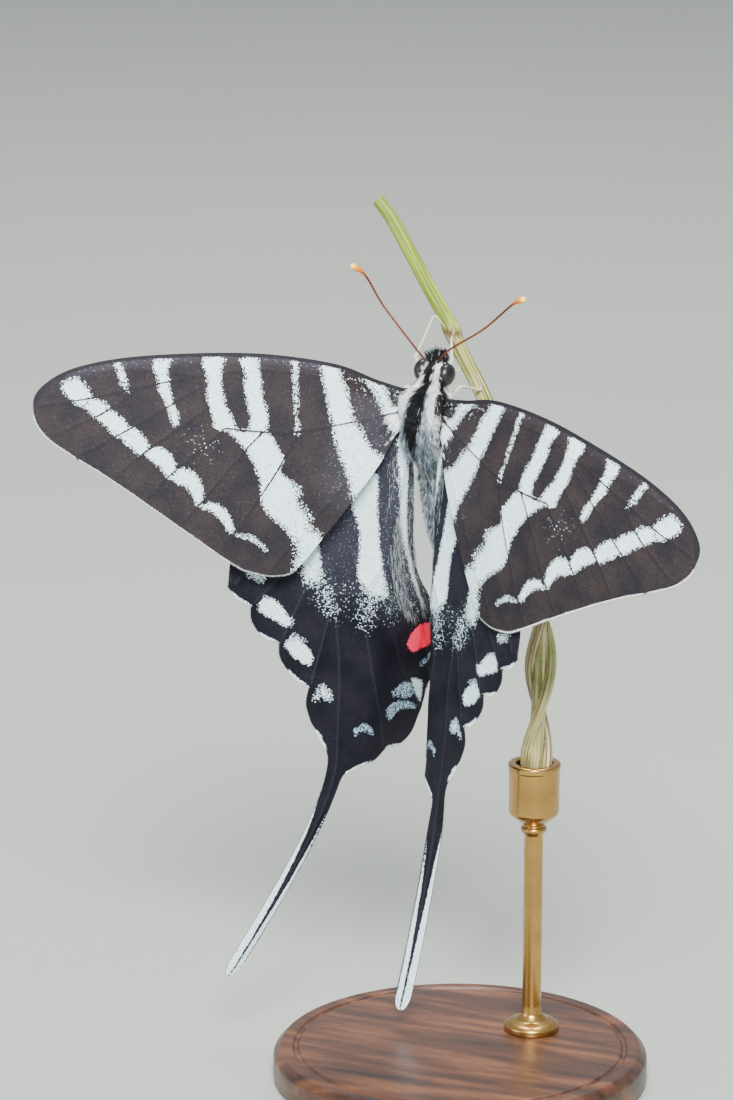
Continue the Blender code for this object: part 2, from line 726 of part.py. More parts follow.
def flat_plan(edges, veins, guides):
    """The wing's flat triangles: (points, triangles, vein lines)."""
    loop = []
    for edge in edges:
        loop += smooth_line(edge, MARGIN_STEP)[:-1]
    loop.append(Vector(edges[-1][-1]))
    points = list(loop)
    lines = [(i, (i + 1) % len(loop)) for i in range(len(loop))]
    margin = loop + loop[:1]
    vein_lines = [smooth_line(vein, VEIN_STEP) for vein in veins]
    for line in vein_lines:
        first = len(points)
        points += line
        lines += [(i, i + 1) for i in range(first, len(points) - 1)]
    feet = []
    for line in vein_lines:
        others = [other for other in vein_lines if other is not line]
        for way in (-1, 1):
            last = None
            for i, point in enumerate(line):
                along = (line[min(i + 1, len(line) - 1)] - line[max(i - 1, 0)]).normalized()
                foot = point + way * VEIN_HALF * Vector((-along.y, along.x))
                clear = all(distance_to_line(foot, other) > 0.9 * VEIN_HALF for other in others)
                apart = all((foot - known).length > 0.5 * VEIN_HALF for known in feet)
                if not (clear and apart and inside(foot, loop) and distance_to_line(foot, margin) > 0.25):
                    last = None
                    continue
                feet.append(foot)
                points.append(foot)
                if last is not None:
                    lines.append((last, len(points) - 1))
                last = len(points) - 1
    for (s, c), room in guides:
        guide = Vector((s, c))
        near_vein = min(distance_to_line(guide, line) for line in vein_lines)
        if near_vein > room and inside(guide, loop) and distance_to_line(guide, margin) > 0.9 * room:
            points.append(guide)
    flat, _, triangles, *_ = delaunay_2d_cdt(points, lines, [], 1, 0.02)
    return flat, triangles, vein_lines


def sheet_shape(bm, plan, surface, side, mirror):
    """The plan laid on its surface, given its thickness and its raised veins, alike on both faces."""
    flat, triangles, vein_lines = plan
    upper = []
    lower = []
    for point in flat:
        place = surface(point.x, point.y, side)
        normal = surface_normal(surface, point.x, point.y, side)
        near = min(distance_to_line(point, line) for line in vein_lines)
        half = 0.5 * SHEET + VEIN_RISE * max(0.0, 1 - near / VEIN_HALF)
        upper.append(bm.verts.new(mirrored(place + half * normal, mirror)))
        lower.append(bm.verts.new(mirrored(place - half * normal, mirror)))
    sides = {}
    for a, b, c in triangles:
        bm.faces.new((upper[a], upper[b], upper[c]))
        bm.faces.new((lower[c], lower[b], lower[a]))
        for start, end in ((a, b), (b, c), (c, a)):
            key = (min(start, end), max(start, end))
            sides.setdefault(key, []).append((start, end))
    for uses in sides.values():
        if len(uses) == 1:
            start, end = uses[0]
            bm.faces.new((upper[end], upper[start], lower[start]))
            bm.faces.new((upper[end], lower[start], lower[end]))


def fill_points(reach_out, reach_back):
    """A loose even grid of inner points, which lets the membrane follow its camber, each with its room."""
    rows = int(reach_back / FILL_STEP) + 2
    columns = int(reach_out / FILL_STEP) + 4
    found = []
    for row in range(rows):
        for column in range(columns):
            shift = 0.5 * FILL_STEP * (row % 2)
            place = (-9.0 + column * FILL_STEP + shift, 2.0 - row * FILL_STEP)
            if hypot(*place) > ROOT_REACH:
                found.append((place, 1.0))
    return found


def fold_points():
    """Points along the hindwing's fold and close together at its root, where the sheet turns most."""
    found = []
    for row in range(4, 28):
        back = 1.5 * row
        fold = FOLD_START + FOLD_SPREAD * back
        found += [((fold + guide, -back), 0.9) for guide in FOLD_GUIDES]
    rows = round(ROOT_REACH / ROOT_STEP)
    for row in range(-1, rows):
        for column in range(-2, rows):
            found.append(((column * ROOT_STEP + 0.5 * ROOT_STEP * (row % 2), -row * ROOT_STEP), 0.5))
    return found


def make_wings(frame, fore_material, hind_material):
    fore_plan = flat_plan(FORE_EDGES, FORE_VEINS, fill_points(52, 22))
    hind_plan = flat_plan(HIND_EDGES, HIND_VEINS, fold_points() + fill_points(32, 44))
    for side, name in ((-1, "left"), (1, "right")):
        body = [
            lambda bm: thorax_shape(bm, GAP),
            lambda bm: abdomen_shape(bm, GAP),
            lambda bm: shoulder_shape(bm, side, GAP),
        ]
        bm = bmesh.new()
        sheet_shape(bm, fore_plan, forewing_point, side, side)
        wing = new_object(f"forewing_{name}", bm, fore_material, frame)
        cut_clear(wing, body)
        bm = bmesh.new()
        sheet_shape(bm, hind_plan, hindwing_point, side, side)
        wing = new_object(f"hindwing_{name}", bm, hind_material, frame)
        cut_clear(wing, body)


def make_frame():
    frame = bpy.data.objects.new("butterfly_frame", None)
    bpy.context.scene.collection.objects.link(frame)
    upright = Matrix(((1, 0, 0), (0, 0, -1), (0, 1, 0))).to_4x4()
    place = Matrix.Translation(Vector((FRAME_SIDE, FRAME_BACK, FRAME_HEIGHT)) * MM)
    frame.matrix_world = place @ Matrix.Rotation(LEAN, 4, "Y") @ upright
    bpy.context.view_layer.update()
    return frame


def build():
    clear_scene()
    frame = make_frame()
    pile = finish_of("blue_grey_pile", (0.18, 0.2, 0.23), 0.9)
    dark_wing = finish_of("brown_black_scales", (0.045, 0.03, 0.028), 0.6)
    blue_wing = finish_of("blue_black_scales", (0.02, 0.02, 0.03), 0.55)
    eye = finish_of("black_eye", (0.01, 0.01, 0.012), 0.15)
    feeler = finish_of("russet_feeler", (0.35, 0.1, 0.03), 0.5)
    pale_leg = finish_of("pale_leg_scales", (0.5, 0.48, 0.42), 0.7)
    vine = finish_of("green_vine", (0.35, 0.4, 0.2), 0.6)
    wood = finish_of("dark_wood", (0.05, 0.03, 0.02), 0.4)
    brass = finish_of("brass", (0.7, 0.5, 0.25), 0.3, 1.0)

    make_thorax(frame, pile)
    make_abdomen(frame, pile)
    make_head(frame, pile)
    make_proboscis(frame, feeler)
    for side, name in ((-1, "left"), (1, "right")):
        make_eye(f"eye_{name}", side, frame, eye)
        make_antenna(f"antenna_{name}", side, frame, feeler)
        for pair in LEG_HIPS:
            make_leg(pair, side, frame, pale_leg)
    make_wings(frame, dark_wing, blue_wing)
    make_perch(frame, vine)
    make_stand(frame, wood, brass)


build()
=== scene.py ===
"""Looks of the zebra swallowtail model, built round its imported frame.

Shapes are worked out in millimetres in the butterfly's own frame, X to its right, Y to its head and Z to
its back, and are laid into the model's frame at the end. Wing marks are flat places, (out, forward) in mm.
"""

from math import cos, pi, radians, sin, tan

import bmesh
import bpy
import numpy as np
from mathutils import Matrix, Vector
from mathutils.geometry import delaunay_2d_cdt


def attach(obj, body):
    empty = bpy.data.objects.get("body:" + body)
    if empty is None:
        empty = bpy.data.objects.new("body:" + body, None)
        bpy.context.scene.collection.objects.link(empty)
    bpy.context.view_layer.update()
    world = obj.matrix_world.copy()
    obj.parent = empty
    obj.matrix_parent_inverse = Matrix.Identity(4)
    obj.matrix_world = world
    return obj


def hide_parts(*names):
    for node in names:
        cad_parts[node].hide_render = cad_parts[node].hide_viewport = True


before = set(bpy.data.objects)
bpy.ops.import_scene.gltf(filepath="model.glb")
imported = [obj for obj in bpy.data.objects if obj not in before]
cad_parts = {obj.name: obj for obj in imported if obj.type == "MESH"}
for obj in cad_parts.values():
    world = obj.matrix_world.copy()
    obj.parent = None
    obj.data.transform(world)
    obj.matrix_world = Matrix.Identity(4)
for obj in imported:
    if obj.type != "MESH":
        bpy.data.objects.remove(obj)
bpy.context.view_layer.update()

MM = 0.001

# The butterfly's frame over the stand
LEAN = radians(7.4)
FRAME_PLACE = (-2.5, -6.0, 80.5)

# The photograph's view of that frame: turns of the camera, its distance, and the picture's size and middle
VIEW_TURN = radians(20.4)
VIEW_PITCH = radians(15.4)
VIEW_ROLL = radians(-7.4)
VIEW_DISTANCE = 500.0
PICTURE_SIZE = (733, 1100)
PICTURE_SCALE = 0.11
FRAME_PIXEL = (423.8, 404.6)
SENSOR = 36.0

# Body skin: (y, middle z, half width, reach up, reach down, lean in degrees), from the face to the tail
SKIN_STATIONS = (
    (5.65, -2.4, 0.25, 0.3, 0.3, 0),
    (5.35, -2.4, 0.6, 0.65, 0.6, 0),
    (4.6, -2.3, 1.05, 1.1, 1.1, 0),
    (3.6, -2.1, 1.2, 1.35, 1.35, 0),
    (2.6, -1.9, 1.15, 1.25, 1.15, 0),
    (1.8, -1.5, 1.15, 1.35, 1.2, 0),
    (0.8, -1.1, 1.7, 2.25, 2.4, 0),
    (-1.2, -0.95, 2.1, 3.05, 3.2, 0),
    (-3.0, -1.1, 2.15, 3.0, 3.1, 4),
    (-4.6, -1.9, 1.95, 2.5, 2.3, 15),
    (-5.9, -3.2, 1.6, 1.85, 1.6, 32),
    (-7.5, -4.9, 1.5, 1.5, 1.5, 38),
    (-9.8, -6.6, 1.62, 1.62, 1.62, 36),
    (-12.2, -8.1, 1.68, 1.68, 1.68, 33),
    (-14.6, -9.4, 1.58, 1.58, 1.58, 30),
    (-16.9, -10.5, 1.35, 1.35, 1.35, 26),
    (-18.9, -11.25, 0.95, 0.95, 0.95, 20),
    (-20.0, -11.6, 0.55, 0.55, 0.55, 16),
    (-20.4, -11.75, 0.2, 0.2, 0.2, 16),
)
SKIN_RINGS = 170
SEGMENT_LENGTH = 2.0
SEGMENT_START = -6.4
SEGMENT_CREASE = 0.07

# Stripes: at each y, how far from their middle the black, grey, white and flank stripes end, in degrees.
# They're turned a little to one side, and two neighbours blend over their softness.
STRIPE_TURN = 7.0
STRIPE_SOFTNESS = 9.0
STRIPES = (
    (-20.4, 4, 52, 74, 74),
    (-6.0, 4, 56, 76, 76),
    (-4.5, 8, 54, 76, 80),
    (-3.0, 15, 44, 72, 92),
    (-1.2, 20, 31, 64, 104),
    (0.3, 20, 25, 58, 100),
    (1.8, 21, 22, 62, 104),
    (3.1, 22, 23, 54, 74),
    (4.3, 22, 23, 56, 66),
    (4.8, 58, 59, 68, 105),
    (5.7, 95, 96, 97, 98),
)

# Coat: at each y, the hairs' length, how steeply they rise, how much they bend over, and how far they part
HAIRS = (
    (-20.4, 0.6, 0.3, 0.2, 0.35),
    (-14.0, 1.15, 0.45, 0.3, 0.4),
    (-8.0, 1.4, 0.5, 0.35, 0.4),
    (-5.0, 1.9, 0.5, 0.35, 0.3),
    (-3.0, 1.5, 0.45, 0.3, 0.15),
    (-1.0, 1.0, 0.45, 0.3, 0.1),
    (0.6, 1.1, 0.7, 0.4, 0.1),
    (1.7, 1.35, 0.95, 0.45, 0.2),
    (2.8, 1.2, 0.95, 0.45, 0.45),
    (3.8, 0.85, 0.85, 0.45, 0.6),
    (4.6, 0.5, 0.7, 0.5, 0.3),
    (5.7, 0.45, 0.7, 0.5, 0.0),
)
CLUMP = 0.28

# Coat pieces: where each starts and ends, and the most hairs that it keeps of the places drawn for them
COAT_PARTS = (
    ("head", 5.4, 1.9, 9000),
    ("thorax_front", 2.1, -1.6, 11500),
    ("thorax_rear", -1.4, -5.0, 11000),
    ("abdomen_front", -4.6, -12.0, 8500),
    ("abdomen_rear", -11.7, -20.4, 8000),
)
DRAWS_PER_HAIR = 14

# Crest: where its bristles start and end, and how many it asks for; about one in six of them finds a place
CREST_SPAN = (5.66, 4.45)
CREST_HAIRS = 4300

# Hairs of each shoulder lobe, palp, leg and strand of the vine, and places drawn at each forewing's root
SHOULDER_HAIRS = 1500
PALP_HAIRS = 420
LEG_HAIRS = 300
VINE_HAIRS = 650
ROOT_HAIR_DRAWS = 2600

# The part of the baked map's side that one tuft takes up
TUFT_PATCH = 0.003

# Lobes at the wings' roots, and the palps beside the mouth
SHOULDER_CENTRE = (1.75, 0.0, 0.5)
SHOULDER_RADII = (0.85, 1.75, 0.6)
SHOULDER_TILT = 0.5
SHOULDER_DARK = {-1: 0.85, 1: 1.9}
PALP_ROUTE = ((0.4, 4.3, -3.3), (0.45, 4.9, -3.35), (0.4, 5.35, -3.0))

# Head parts; each antenna radius goes with a share of its length
EYE_CENTRE = (1.35, 3.3, -2.05)
EYE_RADII = (1.0, 1.3, 1.35)
ANTENNA_ROUTES = {
    -1: ((-0.45, 4.1, -1.4), (-2.6, 6.0, -1.25), (-6.6, 9.7, -1.05), (-8.9, 12.7, -0.5), (-10.5, 13.8, 0.3)),
    1: ((0.3, 4.25, -1.4), (1.6, 6.3, -1.25), (5.4, 9.6, -1.0), (8.6, 13.2, -0.2), (10.2, 14.3, 0.4)),
}
ANTENNA_RADII = (
    (0.0, 0.14), (0.02, 0.18), (0.05, 0.125), (0.5, 0.115), (0.86, 0.13), (0.9, 0.2), (0.94, 0.33),
    (0.97, 0.37), (0.99, 0.26), (1.0, 0.1),
)
COIL_CENTRE = (0, 4.9, -4.35)
COIL_RADIUS = 0.62
COIL_WIRE = 0.12
COIL_TURNS = 2.6

# Legs: each hip and knee, and where each foot starts and ends on the vine, as (y, degrees round it)
LEG_HIPS = {"fore": (0.8, 1.0, -3.0), "mid": (0.9, -0.9, -3.7), "hind": (0.9, -2.8, -3.8)}
LEG_KNEES = {
    ("fore", -1): (-3.5, 3.7, -4.8),
    ("fore", 1): (0.6, 4.0, -5.4),
    ("mid", -1): (-2.7, 1.2, -5.9),
    ("mid", 1): (2.2, 1.6, -4.9),
    ("hind", -1): (-1.6, -4.6, -7.6),
    ("hind", 1): (3.4, -4.9, -6.0),
}
FOOT_PLACES = {
    ("fore", -1): ((8.5, 145), (7.2, 108)),
    ("fore", 1): ((5.8, 92), (6.8, 35)),
    ("mid", -1): ((2.9, 165), (4.3, 150)),
    ("mid", 1): ((0.3, 60), (2.0, 40)),
    ("hind", -1): ((-3.9, 190), (-2.2, 175)),
    ("hind", 1): ((-6.6, 75), (-5.0, 50)),
}

THIGH_RADIUS = 0.27
KNEE_RADIUS = 0.17
SHIN_RADIUS = 0.15
FOOT_RADIUS = 0.1
KNEE_BEND = 0.5
ANKLE_BEND = 0.3

# Wing surfaces, as in the solids
FORE_ROOT = (2.5, 0.0, -0.5)
FORE_DIHEDRAL = radians(34.6)
FORE_PITCH = {-1: radians(-9.7), 1: radians(-5.9)}
FORE_CAMBER_OUT = -0.0041
FORE_CAMBER_TWIST = -0.0033
FORE_CAMBER_ALONG = -0.0071
HIND_ROOT = (1.12, -3.0, -1.9)
HIND_RISE_FRONT = radians(29.5)
HIND_RISE_REAR = radians(36.0)
HIND_RISE_REACH = 22.5
HIND_INNER_RISE = radians(76.0)
FOLD_START = 1.4
FOLD_SPREAD = 0.053
FOLD_SOFTNESS = 1.6
FOLD_OUT = 0.8
FOLD_UP = 0.4
HIND_TILT = radians(2.2)
HIND_SAG = 0.003
TAIL_START = {-1: 41.0, 1: 34.0}
TAIL_SWING = {-1: (0.56, 12.5), 1: (-0.11, 0.5)}
TAIL_LIFT = {-1: 0.005, 1: 0.0074}
TAIL_TWIST = {-1: 0.0, 1: radians(45.0)}
TAIL_TWIST_START = 42.0
TAIL_TWIST_REACH = 8.0
TAIL_MIDDLE = 7.35

# Wing sheets: thickness, raised veins, soft pleats along them, and how fine the mesh is
SHEET = 0.14
VEIN_RISE = 0.07
VEIN_WIDTH = 0.13
PLEAT_RISE = {"fore": 0.05, "hind": 0.16}
PLEAT_WIDTH = 0.75
FINE_STEP = 0.22

# Flat outlines and veins
FORE_EDGES = (
    ((-0.9, 0.9), (3.2, 1.9), (8.5, 3.4), (17.5, 3.8), (28.5, 2.6), (35.2, 0.9), (38.8, -1.2), (40.2, -3.7),
     (38.5, -7.2), (31.2, -11.3), (24.2, -15.5), (17.2, -19.7), (14.8, -20.6), (12.2, -20.8), (10.1, -20.0),
     (7.8, -16.7), (4.4, -11.3), (2.0, -7.2), (0.5, -3.8), (-0.9, -2.6)),
)
FORE_VEINS = (
    ((-0.5, 0.1), (8.0, 1.6), (16.0, 2.0), (22.8, 0.9)),
    ((-0.5, -1.2), (6.7, -3.2), (11.6, -4.4), (15.4, -4.7), (19.5, -4.6)),
    ((22.8, 0.9), (22.5, -0.3), (21.6, -2.5), (19.5, -4.6)),
    ((22.8, 0.9), (30.0, 0.9), (36.3, -0.2)),
    ((22.8, 0.9), (29.0, -0.9), (34.3, -2.6), (39.4, -3.9)),
    ((29.0, -0.9), (32.8, -4.1), (37.7, -7.0)),
    ((22.5, -0.3), (30.6, -6.1), (34.9, -8.9)),
    ((21.6, -2.5), (28.0, -8.0), (30.8, -11.0)),
    ((19.5, -4.6), (24.8, -10.0), (27.1, -13.0)),
    ((15.4, -4.7), (17.4, -7.2), (21.4, -13.1), (23.1, -15.5)),
    ((11.6, -4.4), (13.6, -9.2), (17.5, -16.4), (18.6, -18.2)),
    ((-0.3, -2.2), (4.5, -8.2), (9.3, -14.9), (12.9, -20.2)),
)
FORE_DARK_VEINS = (1, 4, 5, 6, 7, 8, 9, 10)
HIND_EDGES = (
    ((0.2, 1.2), (6.0, 0.2), (12.0, -4.4), (17.0, -11.5), (19.8, -16.5), (20.3, -20.5)),
    ((20.3, -20.5), (19.1, -21.8), (17.6, -22.6)),
    ((17.6, -22.6), (17.5, -24.3), (16.8, -25.7)),
    ((16.8, -25.7), (15.6, -26.6), (14.2, -27.0)),
    ((14.2, -27.0), (14.1, -28.8), (13.4, -30.2)),
    ((13.4, -30.2), (12.1, -31.6), (10.6, -32.6)),
    ((10.6, -32.6), (10.9, -34.9), (10.3, -37.2)),
    ((10.3, -37.2), (9.3, -39.0), (8.4, -41.2), (8.2, -44.0), (8.2, -55.0), (8.3, -67.7), (8.15, -70.6),
     (7.4, -71.6), (6.65, -70.6), (6.5, -67.7), (6.5, -55.0), (6.4, -45.5), (5.7, -43.7), (4.0, -42.6)),
    ((4.0, -42.6), (2.2, -42.2), (0.4, -41.0)),
    ((0.4, -41.0), (-2.2, -41.2), (-4.6, -40.0), (-6.2, -37.2)),
    ((-6.2, -37.2), (-7.0, -35.4), (-7.6, -33.8)),
    ((-7.6, -33.8), (-8.2, -30.2), (-7.9, -26.4), (-6.6, -22.9), (-4.4, -20.0), (-2.8, -17.2), (-2.0, -13.4),
     (-1.4, -9.6), (-0.9, -6.4), (-0.1, -3.8), (0.5, -1.4)),
)
HIND_VEINS = (
    ((0.9, -0.5), (8.0, -4.6), (15.0, -12.5), (19.5, -20.0)),
    ((0.9, -0.5), (5.6, -7.0), (9.2, -12.5), (17.3, -22.2)),
    ((9.2, -12.5), (10.0, -16.0), (13.9, -26.6)),
    ((10.0, -16.0), (8.3, -20.5), (10.4, -32.1)),
    ((8.3, -20.5), (5.0, -20.2), (2.6, -16.5)),
    ((8.3, -20.5), (7.2, -30.0), (7.3, -42.0), (7.35, -55.0), (7.4, -70.5)),
    ((5.0, -20.2), (3.4, -30.0), (1.1, -40.6)),
    ((0.9, -0.5), (1.4, -8.0), (2.6, -16.5), (-0.6, -28.0), (-5.6, -36.9)),
    ((0.9, -0.5), (0.1, -10.0), (-1.6, -18.5), (-5.2, -26.0), (-7.3, -33.2)),
)

# White marks of the forewing: patches as outlines, threads as a line with its half width at each point
FORE_PATCHES = (
    ((4.9, 2.2), (3.6, 0.6), (2.3, -1.3), (1.3, -2.8), (0.7, -3.8), (0.2, -3.1), (0.7, -1.8), (1.7, 0.0),
     (2.7, 1.4), (4.0, 2.0)),
    ((9.9, 3.6), (9.2, 1.4), (8.6, -0.9), (8.0, -2.8), (7.4, -5.0), (6.4, -7.3), (5.4, -9.2), (4.4, -11.4),
     (1.6, -7.6), (3.4, -5.6), (4.5, -4.0), (5.6, -2.4), (6.4, -0.1), (7.1, 1.6), (8.1, 3.3)),
    ((18.5, 3.2), (17.8, 1.5), (17.8, 0.3), (17.3, -1.8), (16.8, -3.4), (16.9, -4.7), (15.2, -4.5),
     (15.1, -2.7), (15.8, -0.8), (16.0, 0.8), (16.4, 2.2), (16.6, 3.3)),
    ((22.3, 3.1), (22.5, 2.3), (21.8, 0.4), (21.7, -1.3), (21.0, -3.5), (20.5, -4.7), (18.6, -4.8),
     (18.8, -3.6), (19.7, -2.0), (20.3, -0.1), (20.4, 1.9), (20.2, 3.1)),
    ((27.7, 2.2), (27.7, 1.2), (27.2, 0.5), (27.0, -0.9), (26.2, -2.2), (25.5, -3.9), (25.2, -4.7),
     (24.7, -4.6), (24.9, -3.3), (25.4, -2.2), (25.7, -1.1), (26.0, 0.3), (26.2, 1.4), (25.9, 2.5)),
    ((37.3, -1.3), (35.6, -0.6), (34.1, -2.5), (35.2, -3.5), (36.8, -2.4)),
    ((34.8, -3.5), (33.5, -2.6), (32.2, -3.5), (33.2, -4.7)),
    ((33.3, -4.7), (32.1, -3.7), (30.1, -5.1), (30.9, -6.5)),
    ((30.8, -6.4), (29.8, -5.4), (28.7, -5.8), (27.6, -7.3), (28.3, -8.3), (29.6, -7.5)),
    ((28.0, -8.3), (27.2, -7.4), (25.8, -7.6), (24.9, -8.5), (24.5, -9.6), (25.1, -10.6), (26.4, -9.3)),
    ((25.0, -10.6), (23.7, -9.4), (22.2, -10.1), (21.4, -11.5), (21.3, -12.9), (21.8, -13.4), (22.9, -11.6),
     (24.1, -11.1)),
    ((21.5, -13.5), (20.3, -13.0), (18.8, -13.6), (18.0, -14.7), (17.5, -16.1), (17.9, -16.3), (19.0, -14.8),
     (20.2, -14.0)),
    ((19.3, -4.8), (17.6, -6.3), (16.1, -8.2), (15.1, -10.4), (14.7, -12.7), (13.5, -14.1), (11.5, -15.7),
     (10.2, -17.7), (10.0, -20.6), (7.4, -19.2), (7.7, -16.1), (9.3, -15.0), (9.4, -13.8), (10.7, -12.4),
     (11.1, -10.7), (13.1, -9.1), (13.0, -7.4), (14.0, -5.8), (15.2, -4.7)),
)
FORE_THREADS = (
    (((12.5, 3.2), 0.3), ((12.3, 1.1), 0.18), ((12.0, -1.7), 0.1), ((11.7, -3.6), 0.12), ((11.7, -4.5), 0.2)),
    (((31.6, 1.5), 0.2), ((31.1, 0.4), 0.3), ((30.7, -0.7), 0.25), ((30.2, -1.5), 0.1)),
    (((17.0, -16.5), 0.12), ((15.7, -16.6), 0.2), ((14.6, -17.2), 0.15), ((13.7, -17.9), 0.12)),
)

# White, red and blue marks of the hindwing
HIND_PATCHES = (
    ((6.9, -7.0), (6.7, -10.1), (6.1, -11.5), (5.6, -13.3), (5.5, -16.4), (5.5, -18.3), (4.0, -20.6),
     (2.0, -20.8), (2.2, -19.5), (3.0, -16.3), (3.6, -12.0), (3.9, -9.5), (4.3, -6.0)),
    ((12.6, -13.6), (11.9, -15.4), (11.9, -17.6), (11.1, -19.6), (9.8, -18.8), (9.9, -17.0), (10.4, -14.6),
     (11.4, -12.6)),
    ((16.2, -21.3), (14.7, -22.0), (13.4, -23.6), (13.1, -24.4), (13.6, -24.9), (15.0, -24.2), (16.5, -23.3),
     (16.8, -22.5)),
    ((12.9, -26.3), (12.1, -26.5), (10.8, -27.8), (10.3, -28.8), (10.8, -29.8), (12.2, -29.0), (13.2, -28.0),
     (13.5, -27.2)),
    ((-3.9, -32.7), (-6.1, -33.6), (-6.1, -36.0), (-5.3, -35.6), (-4.3, -33.7)),
)
HIND_THREADS = (
    (((1.7, -1.9), 0.6), ((1.3, -4.7), 0.6), ((0.9, -7.8), 0.6), ((0.2, -11.8), 0.5), ((-0.8, -15.1), 0.4),
     ((-2.3, -18.4), 0.3), ((-3.8, -21.0), 0.2), ((-5.2, -23.4), 0.1)),
)
HIND_SPECKLED = (
    ((9.2, -32.3), (8.5, -32.7), (8.1, -34.1), (9.0, -33.9), (9.9, -34.3), (9.7, -33.2)),
    ((18.5, -18.2), (17.3, -18.4), (16.2, -19.1), (16.6, -19.6), (17.9, -19.0)),
)
HIND_RED = (
    (-4.9, -25.7), (-7.2, -26.3), (-7.9, -28.6), (-5.6, -29.0), (-4.1, -29.3), (-2.8, -28.2), (-3.3, -26.9),
)
# The crease across the red spot, along which the red is painted deeper as shade
HIND_SHADED_CREASE = ((-5.0, -25.6), (-5.5, -27.4), (-5.3, -29.2))
HIND_BLUE = (
    ((-0.2, -33.7), (-1.9, -33.1), (-2.5, -32.8), (-4.0, -33.6), (-4.1, -35.1), (-0.9, -34.5)),
    ((0.6, -36.6), (0.4, -35.7), (-1.7, -35.2), (-4.5, -36.1), (-4.9, -36.9), (-2.1, -36.5), (-0.3, -37.5)),
    ((5.4, -38.2), (4.5, -37.2), (3.4, -37.5), (2.8, -38.7), (4.3, -38.1), (5.1, -38.8)),
    ((-5.9, -31.6), (-7.6, -30.3), (-7.3, -29.9), (-5.5, -31.1)),
)
HIND_DUST = ((12.2, -15.5), (11.6, -21.6), (8.9, -24.6), (5.6, -26.4), (2.4, -26.2), (-0.8, -26.4),
             (-1.6, -22.5), (1.2, -18.5), (3.6, -15.0), (7.0, -17.4), (9.8, -15.0))
HIND_TRAILS = (((10.3, -18.0), (8.6, -23.0)), ((3.9, -19.0), (4.4, -26.5)))
TAIL_DARK = ((45.0, 48.5, 52.0, 56.0, 61.0, 66.0, 71.0), (1.3, 0.8, 0.58, 0.42, 0.28, 0.16, 0.1))
UNDER_RED = ((6.8, -1.5), (7.9, -9.0), (7.6, -16.0), (5.4, -21.0), (1.4, -25.0), (-3.2, -27.4))

# Where the hindwing's long hair grows, the places drawn there, and the most hairs that are kept
HAIR_BED = (
    (3.9, -1.6), (3.0, -8.0), (2.3, -15.0), (1.2, -20.0), (-1.4, -24.0), (-4.8, -25.2), (-6.2, -23.2),
    (-3.4, -18.6), (-2.1, -14.0), (-1.4, -9.6), (-0.8, -6.0), (0.6, -2.2),
)
HAIR_DRAWS = 16000
HAIR_COUNT = 5600

# How strongly the violet-grey bloom, partly painted sheen, shows on the left wings and on the right ones; the
# right ones, turned otherwise to the light, get less
PAINTED_SHEEN_BY_SIDE = {-1: 1.0, 1: 0.3}

# Stretches of the hindwing's margin where the fringe is white and long, and half their white rims' width
RIM_HALF_WIDTH = 0.17
WHITE_FRINGES = (
    ((19.9, -21.0), (19.1, -21.8), (17.6, -22.6)),
    ((16.6, -25.9), (15.6, -26.6), (14.2, -27.0)),
    ((13.1, -30.5), (12.1, -31.6), (10.6, -32.6)),
    ((9.9, -38.0), (9.3, -39.0), (8.5, -40.8)),
    ((6.3, -45.2), (5.7, -43.7), (4.0, -42.6), (2.7, -42.3)),
    ((0.6, -41.0), (-2.2, -41.2)),
    ((-6.9, -35.6), (-7.6, -33.8)),
)

# Perch: the vine's route past the body, with two strands twined round it lower down
STEM_ROUTE = (
    (-11.4, 19.6, -7.8), (-9.1, 17.2, -8.0), (-4.2, 10.6, -8.6), (-1.6, 7.3, -8.8), (0.1, 4.5, -9.0),
    (3.7, -0.6, -9.3), (7.6, -8.0, -9.9), (10.9, -16.9, -10.9), (12.9, -25.7, -12.1), (13.6, -35.0, -13.2),
    (14.4, -47.0, -14.0),
)
STEM_RADII = (0.7, 0.85)
NODE_HEIGHT = 6.6
STRAND_RADIUS = 0.62
STRAND_START = 0.5
STRAND_TURNS = 1.6

# Stand
BASE_RADIUS = 21.5
BASE_HEIGHT = 4.0
ROD_RADIUS = 1.1
ROD_FOOT_RADIUS = 3.2
CUP_WALL = 0.8
CUP_DEPTH = 5.0
GAP = 0.3

# The Mix node's sockets for colours, and its settings to lay one colour over another or to multiply them
MIX_A = 6
MIX_B = 7
MIX_RESULT = 2
MIX = {"data_type": "RGBA"}
MULTIPLY = {"data_type": "RGBA", "blend_type": "MULTIPLY"}


def frame_matrix():
    """The butterfly's frame laid into the model's, leaning over the stand."""
    upright = Matrix(((1, 0, 0), (0, 0, -1), (0, 1, 0))).to_4x4()
    return Matrix.Translation(Vector(FRAME_PLACE) * MM) @ Matrix.Rotation(LEAN, 4, "Y") @ upright


def to_model(points):
    """Points in the butterfly's millimetres laid into the model's frame, in metres."""
    place = np.array(frame_matrix())
    return np.asarray(points) * MM @ place[:3, :3].T + place[:3, 3]


# Lines and fields on flat places


def smooth_line(points, spacing):
    """Points about `spacing` apart on a smooth curve through the given ones, first and last included."""
    line = [np.array(point, float) for point in points]
    padded = [2 * line[0] - line[1], *line, 2 * line[-1] - line[-2]]
    dense = []
    for before, start, end, after in zip(padded, padded[1:], padded[2:], padded[3:]):
        steps = max(1, round(float(np.linalg.norm(end[:3] - start[:3])) / spacing))
        for i in range(steps):
            t = i / steps
            straight = 2 * start + (end - before) * t
            bend = (2 * before - 5 * start + 4 * end - after) * t * t
            turn = (3 * start - before - 3 * end + after) * t**3
            dense.append(0.5 * (straight + bend + turn))
    dense.append(line[-1])
    return np.array(dense)


def even_line(points, count):
    """`count` points at even distances along a smooth curve through the given ones."""
    dense = smooth_line(points, 0.05)
    reach = np.concatenate([[0], np.cumsum(np.linalg.norm(np.diff(dense, axis=0), axis=1))])
    wanted = np.linspace(0, reach[-1], count)
    return np.stack([np.interp(wanted, reach, dense[:, k]) for k in range(dense.shape[1])], -1)


